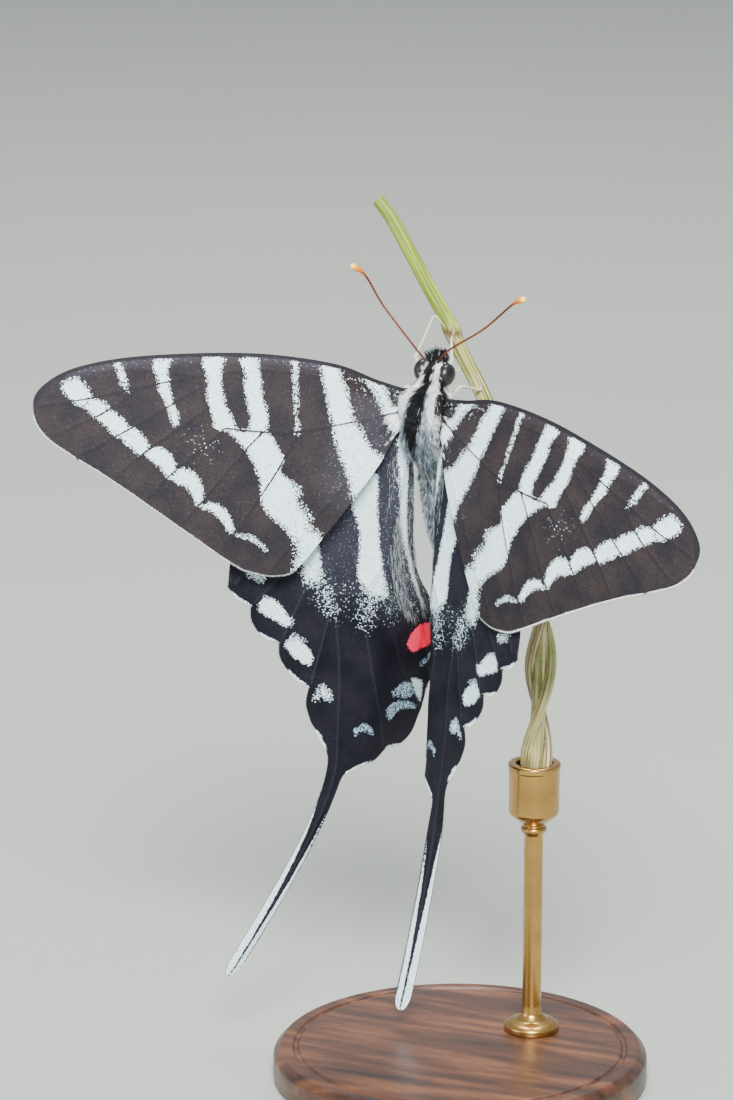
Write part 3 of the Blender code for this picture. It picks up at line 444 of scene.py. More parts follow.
def smoothstep(t):
    """Ease from 0 to 1 while t does, level at both ends."""
    t = np.clip(t, 0, 1)
    return t * t * (3 - 2 * t)


def distance_to_line(points, line):
    """Each flat point's distance to a line of points."""
    line = np.asarray(line, float)
    best = np.full(len(points), 1e9)
    for start, end in zip(line, line[1:]):
        span = end - start
        share = np.clip((points - start) @ span / max(span @ span, 1e-9), 0, 1)
        best = np.minimum(best, np.hypot(*(points - start - share[:, None] * span).T))
    return best


def inside(points, loop):
    """Whether each flat point lies within a closed loop."""
    crossings = np.zeros(len(points), int)
    for (x0, y0), (x1, y1) in zip(loop, np.roll(loop, -1, axis=0)):
        spans = (y0 > points[:, 1]) != (y1 > points[:, 1])
        if spans.any():
            share = (points[:, 1] - y0) / (y1 - y0)
            crossings += spans & (points[:, 0] < x0 + share * (x1 - x0))
    return crossings % 2 == 1


def patch_field(points, outline):
    """How far inside a softly rounded patch each flat point lies, negative outside it."""
    closed = list(outline) + [outline[0]]
    loop = smooth_line(closed, 0.3)
    apart = distance_to_line(points, loop)
    return np.where(inside(points, loop[:-1]), apart, -apart)


def thread_field(points, thread):
    """How far inside a line of changing half width each flat point lies, negative outside it."""
    best = np.full(len(points), -1e9)
    for (start, wide), (end, narrow) in zip(thread, thread[1:]):
        start = np.array(start)
        span = np.array(end) - start
        share = np.clip((points - start) @ span / (span @ span), 0, 1)
        apart = np.hypot(*(points - start - share[:, None] * span).T)
        best = np.maximum(best, wide + (narrow - wide) * share - apart)
    return best


# Wing surfaces


def forewing_surface(flat, side):
    """The forewing's middle surface, a shallow dome turned up and pitched at its root."""
    s, c = flat[:, 0], flat[:, 1]
    camber = FORE_CAMBER_OUT * s * s + FORE_CAMBER_TWIST * s * c + FORE_CAMBER_ALONG * c * c
    turn = np.array(Matrix.Rotation(-FORE_DIHEDRAL, 3, "Y") @ Matrix.Rotation(FORE_PITCH[side], 3, "X"))
    return np.array(FORE_ROOT) + np.stack([s, c, camber], -1) @ turn.T


def hindwing_surface(flat, side):
    """The hindwing's middle surface, folded down steeply inside its fold line."""
    s, c = flat[:, 0], flat[:, 1]
    back = -c
    fold = FOLD_START + FOLD_SPREAD * back
    outer = HIND_RISE_FRONT + (HIND_RISE_REAR - HIND_RISE_FRONT) * smoothstep(back / HIND_RISE_REACH)
    across = s - fold
    steps = 16
    x = HIND_ROOT[0] + FOLD_OUT * fold
    z = HIND_ROOT[2] + FOLD_UP * fold + c * sin(HIND_TILT) - HIND_SAG * back * back
    for i in range(steps):
        place = across * (i + 0.5) / steps
        rise = HIND_INNER_RISE + (outer - HIND_INNER_RISE) * smoothstep((place / FOLD_SOFTNESS + 1) / 2)
        x = x + np.cos(rise) * across / steps
        z = z + np.sin(rise) * across / steps
    past = np.maximum(0.0, back - TAIL_START[side])
    pull, ease = TAIL_SWING[side]
    swing = pull * past * past / (past + ease)
    turned = HIND_RISE_REAR - TAIL_TWIST[side] * smoothstep((back - TAIL_TWIST_START) / TAIL_TWIST_REACH)
    x = x + swing * cos(HIND_RISE_REAR) + (s - TAIL_MIDDLE) * (np.cos(turned) - cos(HIND_RISE_REAR))
    z = z + swing * sin(HIND_RISE_REAR) + (s - TAIL_MIDDLE) * (np.sin(turned) - sin(HIND_RISE_REAR))
    z = z + TAIL_LIFT[side] * past * past
    return np.stack([x, HIND_ROOT[1] + c * cos(HIND_TILT), z], -1)


def unit(vectors):
    """Vectors brought to length 1."""
    return vectors / np.maximum(np.linalg.norm(vectors, axis=-1, keepdims=True), 1e-9)


def wing_frames(surface, flat, side):
    """Place, outward, forward and upper normal of flat places, mirrored to the wing's own side."""
    step = 0.05
    place = surface(flat, side)
    outward = unit(surface(flat + (step, 0), side) - surface(flat - (step, 0), side))
    forward = unit(surface(flat + (0, step), side) - surface(flat - (0, step), side))
    normal = unit(np.cross(outward, forward))
    mirror = np.array([side, 1, 1])
    return place * mirror, outward * mirror, forward * mirror, normal * mirror


# Objects


def new_piece(name, mesh, material, replaced=()):
    """A finished object at the origin that rides on the frame."""
    obj = bpy.data.objects.new(name, mesh)
    bpy.context.scene.collection.objects.link(obj)
    mesh.materials.append(material)
    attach(obj, "root")
    if replaced:
        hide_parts(*replaced)
    return obj


def mesh_from_bmesh(name, bm, sharp=40, place=True):
    """A smooth mesh in the model's frame from a bmesh in the butterfly's millimetres."""
    bmesh.ops.remove_doubles(bm, verts=bm.verts, dist=1e-4)
    bmesh.ops.recalc_face_normals(bm, faces=bm.faces)
    matrix = Matrix.Scale(MM, 4)
    if place:
        matrix = frame_matrix() @ matrix
    bmesh.ops.transform(bm, matrix=matrix, verts=bm.verts)
    mesh = bpy.data.meshes.new(name)
    bm.to_mesh(mesh)
    bm.free()
    mesh.shade_smooth()
    mesh.set_sharp_from_angle(angle=radians(sharp))
    return mesh


def places_of(mesh):
    """A mesh's vertices back in the butterfly's millimetres."""
    flat = np.empty(3 * len(mesh.vertices))
    mesh.vertices.foreach_get("co", flat)
    place = np.array(frame_matrix())
    return (flat.reshape(-1, 3) - place[:3, 3]) @ place[:3, :3] / MM


def keep(mesh, name, values):
    """Store one number or one vector for each vertex."""
    values = np.asarray(values, np.float32)
    kind, field = ("FLOAT", "value") if values.ndim == 1 else ("FLOAT_VECTOR", "vector")
    mesh.attributes.new(name, kind, "POINT").data.foreach_set(field, values.ravel())


def wrap(bm, along, around, place):
    """A closed tube: a grid rolled up by `place(t, angle)`, its seam merged and its ends capped."""
    made = bmesh.ops.create_grid(bm, x_segments=along - 1, y_segments=around, size=0.5)["verts"]
    for vertex in made:
        vertex.co = Vector(place(vertex.co.x + 0.5, 2 * pi * (vertex.co.y + 0.5)))
    bmesh.ops.remove_doubles(bm, verts=made, dist=1e-4)
    left = [vertex for vertex in made if vertex.is_valid]
    rims = [edge for edge in {edge for vertex in left for edge in vertex.link_edges} if edge.is_boundary]
    bmesh.ops.holes_fill(bm, edges=rims, sides=0)


def tube_frames(line):
    """Two directions across a line at each of its points, turned as little as may be along it."""
    runs = unit(np.diff(line, axis=0))
    tangents = unit(np.vstack([runs[:1], runs[:-1] + runs[1:], runs[-1:]]))
    side = np.array([1.0, 0.0, 0.0])
    frames = []
    for tangent in tangents:
        if abs(tangent @ side) > 0.95:
            side = np.array([0.0, 0.0, 1.0])
        side = unit(side - tangent * (tangent @ side))
        frames.append((side, np.cross(tangent, side)))
    return tangents, np.array(frames)


def add_tube(bm, line, radii, sides, ridge=0.0, ridges=0):
    """A round tube along a line with a radius at each point, and ridges along it if wanted."""
    line = np.asarray(line, float)
    frames = tube_frames(line)[1]
    last = len(line) - 1

    def place(t, angle):
        i = round(t * last)
        first, second = frames[i]
        radius = radii[i] * (1 + ridge * cos(ridges * angle))
        return line[i] + radius * (cos(angle) * first + sin(angle) * second)

    wrap(bm, len(line), sides, place)


def add_ball(bm, centre, radii, segments):
    """A sphere stretched to three radii about its centre."""
    made = bmesh.ops.create_uvsphere(bm, u_segments=segments, v_segments=segments // 2, radius=1.0)["verts"]
    bmesh.ops.scale(bm, vec=radii, verts=made)
    bmesh.ops.translate(bm, vec=centre, verts=made)
    return made


def lathe(bm, profile, sides):
    """Turn a profile of (radius, height) points about Z; it starts and ends on the axis."""
    points = [bm.verts.new((radius, 0, height)) for radius, height in profile]
    edges = [bm.edges.new(pair) for pair in zip(points, points[1:])]
    bmesh.ops.spin(bm, geom=points + edges, cent=(0, 0, 0), axis=(0, 0, 1), angle=2 * pi, steps=sides,
                   use_merge=True)


def lock_shape(levels):
    """One slim hair lock as a cut three-sided cone: its points as (across, along, up) and its triangles."""
    bm = bmesh.new()
    bmesh.ops.create_cone(bm, cap_ends=True, segments=3, radius1=0.5, radius2=0.0, depth=1.0)
    bmesh.ops.remove_doubles(bm, verts=bm.verts, dist=1e-5)
    bmesh.ops.translate(bm, vec=(0, 0, 0.5), verts=bm.verts)
    for level in range(1, levels):
        bmesh.ops.bisect_plane(bm, geom=bm.verts[:] + bm.edges[:] + bm.faces[:], dist=1e-5,
                               plane_co=(0, 0, level / levels), plane_no=(0, 0, 1))
    bmesh.ops.triangulate(bm, faces=bm.faces)
    bmesh.ops.recalc_face_normals(bm, faces=bm.faces)
    points = np.array([(v.co.x, v.co.z, v.co.y) for v in bm.verts])
    fuller = np.maximum(1 - points[:, 1], 1e-6) ** -0.3
    points[:, 0] *= fuller
    points[:, 2] *= fuller
    faces = np.array([[v.index for v in reversed(face.verts)] for face in bm.faces])
    bm.free()
    return points, faces


def tufts(name, hairs, material, levels=3):
    """Many slim, tapered locks in one mesh, each rising from its root and bending over along the coat.

    `hairs` holds roots, normals, lies, lengths, widths, lift, droop, each root's place on the skin's own
    unwrap, and named numbers for the material.
    """
    shape, faces = lock_shape(levels)
    roots = hairs["roots"][:, None]
    normals = hairs["normals"][:, None]
    lies = hairs["lies"][:, None]
    across = unit(np.cross(lies, normals))
    lengths = hairs["lengths"][:, None, None]
    widths = hairs["widths"][:, None, None]
    lift = np.broadcast_to(hairs["lift"], len(hairs["roots"]))[:, None, None]
    droop = np.broadcast_to(hairs["droop"], len(hairs["roots"]))[:, None, None]
    wide, t, high = (shape[None, :, k:k + 1] for k in range(3))
    points = roots + lengths * (lies * t + normals * (lift * t - droop * t * t))
    points = points + widths * (across * wide + normals * high)
    count, corners = len(roots), len(shape)
    indices = faces[None] + corners * np.arange(count)[:, None, None]
    mesh = bpy.data.meshes.new(name)
    mesh.from_pydata(to_model(points.reshape(-1, 3)), [], indices.reshape(-1, 3).tolist())
    keep(mesh, "along", np.tile(shape[:, 1], count))
    for mark, values in hairs["marks"].items():
        keep(mesh, mark, np.repeat(values, corners))
    spread = TUFT_PATCH * np.column_stack([shape[:, 0] + 0.5, shape[:, 1]])
    spots = (hairs["patch"][:, None, :] + spread[None]).reshape(-1, 2)
    layer = mesh.uv_layers.new(name="OFBake")
    layer.data.foreach_set("uv", spots[indices.ravel()].astype(np.float32).ravel())
    mesh.shade_smooth()
    return new_piece(name, mesh, material)


# Materials


def colour(code):
    """Linear colour, opaque, from an sRGB hex code."""
    parts = [int(code[i:i + 2], 16) / 255 for i in (1, 3, 5)]
    linear = [part / 12.92 if part <= 0.04045 else ((part + 0.055) / 1.055) ** 2.4 for part in parts]
    return (*linear, 1.0)


def node(tree, kind, settings=None, inputs=None):
    """Add a node with its settings, and set or link its inputs; a node among them is read by its result."""
    made = tree.nodes.new(kind)
    for name, value in (settings or {}).items():
        setattr(made, name, value)
    for key, value in (inputs or {}).items():
        if isinstance(value, bpy.types.Node):
            value = value.outputs[MIX_RESULT if value.bl_idname == "ShaderNodeMix" else 0]
        if isinstance(value, bpy.types.NodeSocket):
            tree.links.new(value, made.inputs[key])
        else:
            made.inputs[key].default_value = value
    return made


def new_material(name, **inputs):
    """A material with its main shader's constant inputs set by name, underscores for spaces."""
    material = bpy.data.materials.new(name)
    material.use_nodes = True
    shader = material.node_tree.nodes["Principled BSDF"]
    for key, value in inputs.items():
        shader.inputs[key.replace("_", " ")].default_value = value
    return material, material.node_tree, shader


def wing_scales(name, brown, deep, vein_tone, under):
    """Overlapping wing scales 0.1 mm apart, each one flat colour, so that every mark has a grainy edge.

    Dry and matt like velvet, with hardly any highlight.
    """
    material, tree, shader = new_material(name, Roughness=0.7, Specular_IOR_Level=0.12)
    mark = {}
    for field in ("white", "ragged", "dust", "ashen_and_sheen", "vein", "cut", "red", "crease", "blue", "below"):
        mark[field] = node(tree, "ShaderNodeAttribute", {"attribute_name": field}).outputs["Fac"]
    flat = node(tree, "ShaderNodeAttribute", {"attribute_name": "flat"}).outputs["Vector"]

    # Each scale has its own random numbers
    scales = node(tree, "ShaderNodeTexVoronoi", {"voronoi_dimensions": "2D"},
                  {"Vector": flat, "Scale": 10.0})
    dice = node(tree, "ShaderNodeSeparateColor", None, {"Color": scales.outputs["Color"]}).outputs

    # Edges of marks wander over patches about 0.8 mm long, the more the more ragged they are
    wander = node(tree, "ShaderNodeTexNoise", None, {"Vector": flat, "Scale": 1.3, "Detail": 3.0})
    swing = node(tree, "ShaderNodeMapRange", None, {"Value": wander, "To Min": -0.6, "To Max": 0.6})
    depth = node(tree, "ShaderNodeMath", {"operation": "DIVIDE"}, {0: mark["white"], 1: mark["ragged"]})
    share = node(tree, "ShaderNodeMath", {"operation": "ADD"}, {0: depth, 1: swing})
    chance = node(tree, "ShaderNodeMapRange", None, {"Value": share, "From Min": -1.0})
    dusted = node(tree, "ShaderNodeMath", {"operation": "MAXIMUM"}, {0: chance, 1: mark["dust"]})
    scored = node(tree, "ShaderNodeMapRange", None,
                  {"Value": mark["cut"], "From Min": 0.05, "From Max": 0.13})
    spared = node(tree, "ShaderNodeMath", {"operation": "MULTIPLY"}, {0: dusted, 1: scored})
    drawn = node(tree, "ShaderNodeMath", {"operation": "SUBTRACT"}, {0: spared, 1: dice["Red"]})
    is_white = node(tree, "ShaderNodeMapRange", None, {"Value": drawn, "From Max": 0.04})

    # Dark ground: deep and brown scales in clouds about 4 mm across, over a finer mottle
    clouds = node(tree, "ShaderNodeTexNoise", None, {"Vector": flat, "Scale": 0.26, "Detail": 4.0})
    warmth = node(tree, "ShaderNodeMapRange", None, {"Value": clouds, "From Min": 0.36, "From Max": 0.64})
    ground = node(tree, "ShaderNodeMix", MIX, {0: warmth, MIX_A: colour(deep), MIX_B: colour(brown)})
    grain = node(tree, "ShaderNodeMapRange", None, {"Value": dice["Green"], "To Min": 0.65, "To Max": 1.35})
    grained = node(tree, "ShaderNodeMix", MULTIPLY, {0: 1.0, MIX_A: ground, MIX_B: grain})
    paler = node(tree, "ShaderNodeMath", {"operation": "MULTIPLY"}, {0: mark["below"], 1: 0.55})
    turned = node(tree, "ShaderNodeMix", MIX, {0: paler, MIX_A: grained, MIX_B: colour(under)})
    at_vein = node(tree, "ShaderNodeMapRange", None,
                   {"Value": mark["vein"], "From Min": 0.04, "From Max": 0.2, "To Min": 0.35, "To Max": 0.0})
    veined = node(tree, "ShaderNodeMix", MIX, {0: at_vein, MIX_A: turned, MIX_B: colour(vein_tone)})
    at_cut = node(tree, "ShaderNodeMapRange", None,
                  {"Value": mark["cut"], "From Min": 0.03, "From Max": 0.12, "To Min": 1.0, "To Max": 0.0})
    lined = node(tree, "ShaderNodeMix", MIX, {0: at_cut, MIX_A: veined, MIX_B: colour(deep)})

    # Ashen scales thin out into a violet-grey bloom, some of them bright; the bloom is partly painted sheen
    bloom = node(tree, "ShaderNodeMath", {"operation": "MULTIPLY"}, {0: mark["ashen_and_sheen"], 1: 0.62})
    with_painted_sheen = node(tree, "ShaderNodeMix", MIX, {0: bloom, MIX_A: lined, MIX_B: colour("#525565")})
    ash_draw = node(tree, "ShaderNodeMath", {"operation": "MULTIPLY"}, {0: mark["ashen_and_sheen"], 1: 0.16})
    ash_left = node(tree, "ShaderNodeMath", {"operation": "SUBTRACT"}, {0: ash_draw, 1: dice["Blue"]})
    is_ashen = node(tree, "ShaderNodeMapRange", None, {"Value": ash_left, "From Max": 0.05, "To Max": 0.5})
    ashy = node(tree, "ShaderNodeMix", MIX, {0: is_ashen, MIX_A: with_painted_sheen, MIX_B: colour("#9398a8")})

    # Pale scales vary a little in tone, from cool white to pale blue
    pale_tone = node(tree, "ShaderNodeMix", MIX,
                     {0: dice["Green"], MIX_A: colour("#bcdfee"), MIX_B: colour("#eaf9ff")})
    banded = node(tree, "ShaderNodeMix", MIX, {0: is_white, MIX_A: ashy, MIX_B: pale_tone})

    # The red spot, deeper red along its crease as painted shade and pinker away from it as painted highlight,
    # and the powdery blue lunules
    red_reach = node(tree, "ShaderNodeMath", {"operation": "MULTIPLY_ADD"},
                     {0: dice["Red"], 1: -0.3, 2: mark["red"]})
    is_red = node(tree, "ShaderNodeMapRange", None,
                  {"Value": red_reach, "From Min": -0.16, "From Max": -0.12})
    crease = node(tree, "ShaderNodeMapRange", None,
                  {"Value": mark["crease"], "From Min": 0.15, "From Max": 0.6, "To Min": 1.0, "To Max": 0.0})
    reds = node(tree, "ShaderNodeMix", MIX, {0: crease, MIX_A: colour("#ff3866"), MIX_B: colour("#f2083e")})
    reddened = node(tree, "ShaderNodeMix", MIX, {0: is_red, MIX_A: banded, MIX_B: reds})
    blue_share = node(tree, "ShaderNodeMath", {"operation": "MULTIPLY_ADD"},
                      {0: mark["blue"], 1: 1.4, 2: 0.26})
    blue_most = node(tree, "ShaderNodeMath", {"operation": "MINIMUM"}, {0: blue_share, 1: 0.56})
    blue_left = node(tree, "ShaderNodeMath", {"operation": "SUBTRACT"}, {0: blue_most, 1: dice["Blue"]})
    is_blue = node(tree, "ShaderNodeMapRange", None, {"Value": blue_left, "From Max": 0.04})
    blues = node(tree, "ShaderNodeMix", MIX,
                 {0: dice["Green"], MIX_A: colour("#5690bb"), MIX_B: colour("#d2ecf5")})
    blued = node(tree, "ShaderNodeMix", MIX, {0: is_blue, MIX_A: reddened, MIX_B: blues})
    tree.links.new(blued.outputs[MIX_RESULT], shader.inputs["Base Color"])

    # Each scale is a low dome, and fine wrinkles about 0.6 mm apart cross the membrane
    wrinkle = node(tree, "ShaderNodeTexNoise", None, {"Vector": flat, "Scale": 1.7, "Detail": 4.0})
    crumple = node(tree, "ShaderNodeBump", None, {"Height": wrinkle, "Strength": 0.3, "Distance": 0.00012})
    relief = node(tree, "ShaderNodeBump", {"invert": True},
                  {"Height": scales, "Strength": 0.3, "Distance": 0.00005, "Normal": crumple})
    tree.links.new(relief.outputs["Normal"], shader.inputs["Normal"])
    return material


def pile_coat():
    """Insect hair: dry matt keratin, silvery or cream at the tip, and darker towards the root as painted
    shade deep in the coat.
    """
    material, tree, shader = new_material("silvery_butterfly_pile", Roughness=0.6, Specular_IOR_Level=0.2)
    mark = {}
    for field in ("white", "black", "along", "chance"):
        mark[field] = node(tree, "ShaderNodeAttribute", {"attribute_name": field}).outputs["Fac"]
    greys = node(tree, "ShaderNodeMix", MIX,
                 {0: mark["chance"], MIX_A: colour("#465264"), MIX_B: colour("#c0cfdd")})
    whites = node(tree, "ShaderNodeMix", MIX,
                  {0: mark["chance"], MIX_A: colour("#e8eff3"), MIX_B: colour("#fcffff")})
    blacks = node(tree, "ShaderNodeMix", MIX,
                  {0: mark["chance"], MIX_A: colour("#08090b"), MIX_B: colour("#24262c")})
    paler = node(tree, "ShaderNodeMix", MIX, {0: mark["white"], MIX_A: greys, MIX_B: whites})
    marked = node(tree, "ShaderNodeMix", MIX, {0: mark["black"], MIX_A: paler, MIX_B: blacks})
    # Painted shade: each hair darkens towards its root, where the coat would shade it
    depth = node(tree, "ShaderNodeMapRange", None,
                 {"Value": mark["along"], "To Min": 0.84, "To Max": 1.0, "From Max": 0.5})
    shaded = node(tree, "ShaderNodeMix", MULTIPLY, {0: 1.0, MIX_A: marked, MIX_B: depth})
    tree.links.new(shaded.outputs[MIX_RESULT], shader.inputs["Base Color"])
    return material


def eye_lens():
    """Chitin lens facets: black and wet-looking, with a faint grey bloom from facets too fine to see."""
    material, tree, shader = new_material("black_compound_eye", Roughness=0.36, Specular_IOR_Level=0.4,
                                          Coat_Weight=0.1, Coat_Roughness=0.15, IOR=1.56)
    place = node(tree, "ShaderNodeTexCoord").outputs["Object"]
    # Bloom in patches about 1 mm across
    mottle = node(tree, "ShaderNodeTexNoise", None, {"Vector": place, "Scale": 900.0, "Detail": 2.0})
    bloom = node(tree, "ShaderNodeMix", MIX, {0: mottle, MIX_A: colour("#050506"), MIX_B: colour("#131218")})
    tree.links.new(bloom.outputs[MIX_RESULT], shader.inputs["Base Color"])
    # Facets drawn 0.05 mm across, twice the real size, so that they show at all
    facets = node(tree, "ShaderNodeTexVoronoi", None, {"Vector": place, "Scale": 20000.0, "Randomness": 0.3})
    relief = node(tree, "ShaderNodeBump", {"invert": True},
                  {"Height": facets, "Strength": 0.12, "Distance": 0.00002})
    tree.links.new(relief.outputs["Normal"], shader.inputs["Normal"])
    return material


def antenna_horn():
    """Ringed chitin: satin russet with a dark ring at each joint, an orange club and a yellow tip."""
    material, tree, shader = new_material("ringed_russet_chitin", Roughness=0.42, Specular_IOR_Level=0.3)
    reach = node(tree, "ShaderNodeAttribute", {"attribute_name": "reach"}).outputs["Fac"]
    share = node(tree, "ShaderNodeAttribute", {"attribute_name": "share"}).outputs["Fac"]
    # Joints every 0.36 mm
    rings = node(tree, "ShaderNodeMath", {"operation": "PINGPONG"}, {0: reach, 1: 0.18})
    shown = node(tree, "ShaderNodeMapRange", None,
                 {"Value": share, "From Min": 0.1, "From Max": 0.8, "To Min": 0.35, "To Max": 0.95})
    dark = node(tree, "ShaderNodeMapRange", None,
                {"Value": rings, "From Min": 0.05, "From Max": 0.11, "To Min": 1.0, "To Max": 0.0})
    shaft = node(tree, "ShaderNodeMapRange", None,
                 {"Value": share, "From Min": 0.86, "From Max": 0.91, "To Min": 1.0, "To Max": 0.0})
    below = node(tree, "ShaderNodeMath", {"operation": "MULTIPLY"}, {0: dark, 1: shaft})
    ringed = node(tree, "ShaderNodeMath", {"operation": "MULTIPLY"}, {0: below, 1: shown})
    tones = node(tree, "ShaderNodeValToRGB", None, {"Fac": share})
    ramp = tones.color_ramp
    ramp.elements[0].position = 0.0
    ramp.elements[0].color = colour("#200d06")
    ramp.elements[1].position = 0.5
    ramp.elements[1].color = colour("#7a350f")
    stops = ((0.12, "#4a1e0a"), (0.84, "#6a2c0a"), (0.9, "#b25a04"), (0.96, "#e08a08"), (0.99, "#ffd24a"))
    for place, code in stops:
        ramp.elements.new(place).color = colour(code)
    banded = node(tree, "ShaderNodeMix", MIX, {0: ringed, MIX_A: tones, MIX_B: colour("#1e0a05")})
    tree.links.new(banded.outputs[MIX_RESULT], shader.inputs["Base Color"])
    relief = node(tree, "ShaderNodeBump", {"invert": True},
                  {"Height": below, "Strength": 0.5, "Distance": 0.00004})
    tree.links.new(relief.outputs["Normal"], shader.inputs["Normal"])
    return material


def leg_scales():
    """Pale scales on chitin: chalky cream with a fine grain, browner towards the claws."""
    material, tree, shader = new_material("cream_leg_scales", Roughness=0.6, Specular_IOR_Level=0.35)
    place = node(tree, "ShaderNodeTexCoord").outputs["Object"]
    share = node(tree, "ShaderNodeAttribute", {"attribute_name": "share"}).outputs["Fac"]
    # Scales 0.08 mm apart
    scales = node(tree, "ShaderNodeTexVoronoi", None, {"Vector": place, "Scale": 12000.0})
    dice = node(tree, "ShaderNodeSeparateColor", None, {"Color": scales.outputs["Color"]}).outputs
    creams = node(tree, "ShaderNodeMix", MIX,
                  {0: dice["Red"], MIX_A: colour("#98a088"), MIX_B: colour("#cfd5c2")})
    foot = node(tree, "ShaderNodeMapRange", None,
                {"Value": share, "From Min": 0.75, "From Max": 1.0, "To Max": 0.6})
    footed = node(tree, "ShaderNodeMix", MIX, {0: foot, MIX_A: creams, MIX_B: colour("#75583a")})
    tree.links.new(footed.outputs[MIX_RESULT], shader.inputs["Base Color"])
    relief = node(tree, "ShaderNodeBump", {"invert": True},
                  {"Height": scales, "Strength": 0.4, "Distance": 0.00004})
    tree.links.new(relief.outputs["Normal"], shader.inputs["Normal"])
    return material


def vine_bark():
    """Young vine bark: fine dark grooves along it, waxy green going tan and straw where it is older; the
    green is darkened as painted shade.
    """
    material, tree, shader = new_material("grooved_vine_bark", Roughness=0.48, Specular_IOR_Level=0.4)
    wound = node(tree, "ShaderNodeAttribute", {"attribute_name": "wound"}).outputs["Vector"]
    age = node(tree, "ShaderNodeAttribute", {"attribute_name": "age"}).outputs["Fac"]
    cut = node(tree, "ShaderNodeAttribute", {"attribute_name": "cut"}).outputs["Fac"]
    joint = node(tree, "ShaderNodeAttribute", {"attribute_name": "joint"}).outputs["Fac"]
    # Grooves about 0.25 mm apart and many times as long
    stretch = node(tree, "ShaderNodeMapping", None, {"Vector": wound, "Scale": (0.1, 4.0, 4.0)})
    grooves = node(tree, "ShaderNodeTexNoise", None, {"Vector": stretch, "Scale": 1.0, "Detail": 5.0})
    streaks = node(tree, "ShaderNodeMapRange", None, {"Value": grooves, "From Min": 0.33, "From Max": 0.64})
    blotch = node(tree, "ShaderNodeTexNoise", None, {"Vector": wound, "Scale": 0.5, "Detail": 3.0})
    # The young green at the top is painted dark, as shade on the part of the vine that stands against the
    # light
    greens = node(tree, "ShaderNodeMix", MIX,
                  {0: streaks, MIX_A: colour("#45580c"), MIX_B: colour("#98ab3c")})
    straws = node(tree, "ShaderNodeMix", MIX,
                  {0: streaks, MIX_A: colour("#59432a"), MIX_B: colour("#e2d5a2")})
    patchy = node(tree, "ShaderNodeMath", {"operation": "ADD"}, {0: blotch, 1: age})
    mixed = node(tree, "ShaderNodeMapRange", None, {"Value": patchy, "From Min": 0.6, "From Max": 1.2})
    bark = node(tree, "ShaderNodeMix", MIX, {0: mixed, MIX_A: greens, MIX_B: straws})
    browned = node(tree, "ShaderNodeMath", {"operation": "MULTIPLY"}, {0: joint, 1: blotch})
    jointed = node(tree, "ShaderNodeMix", MIX, {0: browned, MIX_A: bark, MIX_B: colour("#54361f")})
    ended = node(tree, "ShaderNodeMix", MIX, {0: cut, MIX_A: jointed, MIX_B: colour("#d9d2a8")})
    tree.links.new(ended.outputs[MIX_RESULT], shader.inputs["Base Color"])
    relief = node(tree, "ShaderNodeBump", None, {"Height": grooves, "Strength": 0.7, "Distance": 0.00015})
    tree.links.new(relief.outputs["Normal"], shader.inputs["Normal"])
    return material


def turned_walnut():
    """Oiled walnut turned on a lathe: streaked brown grain and open pores under a low satin."""
    material, tree, shader = new_material("oiled_turned_walnut", Roughness=0.4, Coat_Weight=0.15,
                                          Coat_Roughness=0.25)
    place = node(tree, "ShaderNodeTexCoord").outputs["Object"]
    # Growth rings 2 to 3 mm apart that waver over about 20 mm
    stretch = node(tree, "ShaderNodeMapping", None, {"Vector": place, "Scale": (60.0, 420.0, 420.0)})
    waver = node(tree, "ShaderNodeTexNoise", None, {"Vector": stretch, "Scale": 1.0, "Detail": 6.0})
    # Pores 0.14 mm wide and ten times as long
    pores = node(tree, "ShaderNodeMapping", None, {"Vector": place, "Scale": (700.0, 7000.0, 7000.0)})
    pore = node(tree, "ShaderNodeTexNoise", None, {"Vector": pores, "Scale": 1.0, "Detail": 2.0})
    tones = node(tree, "ShaderNodeValToRGB", None, {"Fac": waver})
    ramp = tones.color_ramp
    ramp.elements[0].position = 0.32
    ramp.elements[0].color = colour("#24150d")
    ramp.elements[1].position = 0.7
    ramp.elements[1].color = colour("#6f462c")
    ramp.elements.new(0.5).color = colour("#472a1a")
    open_pore = node(tree, "ShaderNodeMapRange", None,
                     {"Value": pore, "From Min": 0.34, "From Max": 0.44, "To Min": 0.45})
    wood = node(tree, "ShaderNodeMix", MULTIPLY, {0: 1.0, MIX_A: tones, MIX_B: open_pore})
    tree.links.new(wood.outputs[MIX_RESULT], shader.inputs["Base Color"])
    relief = node(tree, "ShaderNodeBump", None, {"Height": open_pore, "Strength": 0.25, "Distance": 0.00005})
    tree.links.new(relief.outputs["Normal"], shader.inputs["Normal"])
    return material


def turned_brass():
    """Lacquered brass turned on a lathe: warm, with fine tool rings and slight tarnish."""
    material, tree, shader = new_material("turned_lacquered_brass", Metallic=1.0, Coat_Weight=0.3,
                                          Coat_Roughness=0.1)
    place = node(tree, "ShaderNodeTexCoord").outputs["Object"]
    # Tool rings 0.08 mm apart, and tarnish in patches about 3 mm across
    stretch = node(tree, "ShaderNodeMapping", None, {"Vector": place, "Scale": (200.0, 200.0, 12000.0)})
    rings = node(tree, "ShaderNodeTexNoise", None, {"Vector": stretch, "Scale": 1.0, "Detail": 1.0})
    tarnish = node(tree, "ShaderNodeTexNoise", None, {"Vector": place, "Scale": 350.0, "Detail": 3.0})
    brass = node(tree, "ShaderNodeMix", MIX,
                 {0: tarnish, MIX_A: colour("#96703a"), MIX_B: colour("#cfa65c")})
    tree.links.new(brass.outputs[MIX_RESULT], shader.inputs["Base Color"])
    dulled = node(tree, "ShaderNodeMapRange", None, {"Value": tarnish, "To Min": 0.36, "To Max": 0.2})
    tree.links.new(dulled.outputs[0], shader.inputs["Roughness"])
    relief = node(tree, "ShaderNodeBump", None, {"Height": rings, "Strength": 0.15, "Distance": 0.00003})
    tree.links.new(relief.outputs["Normal"], shader.inputs["Normal"])
    return material


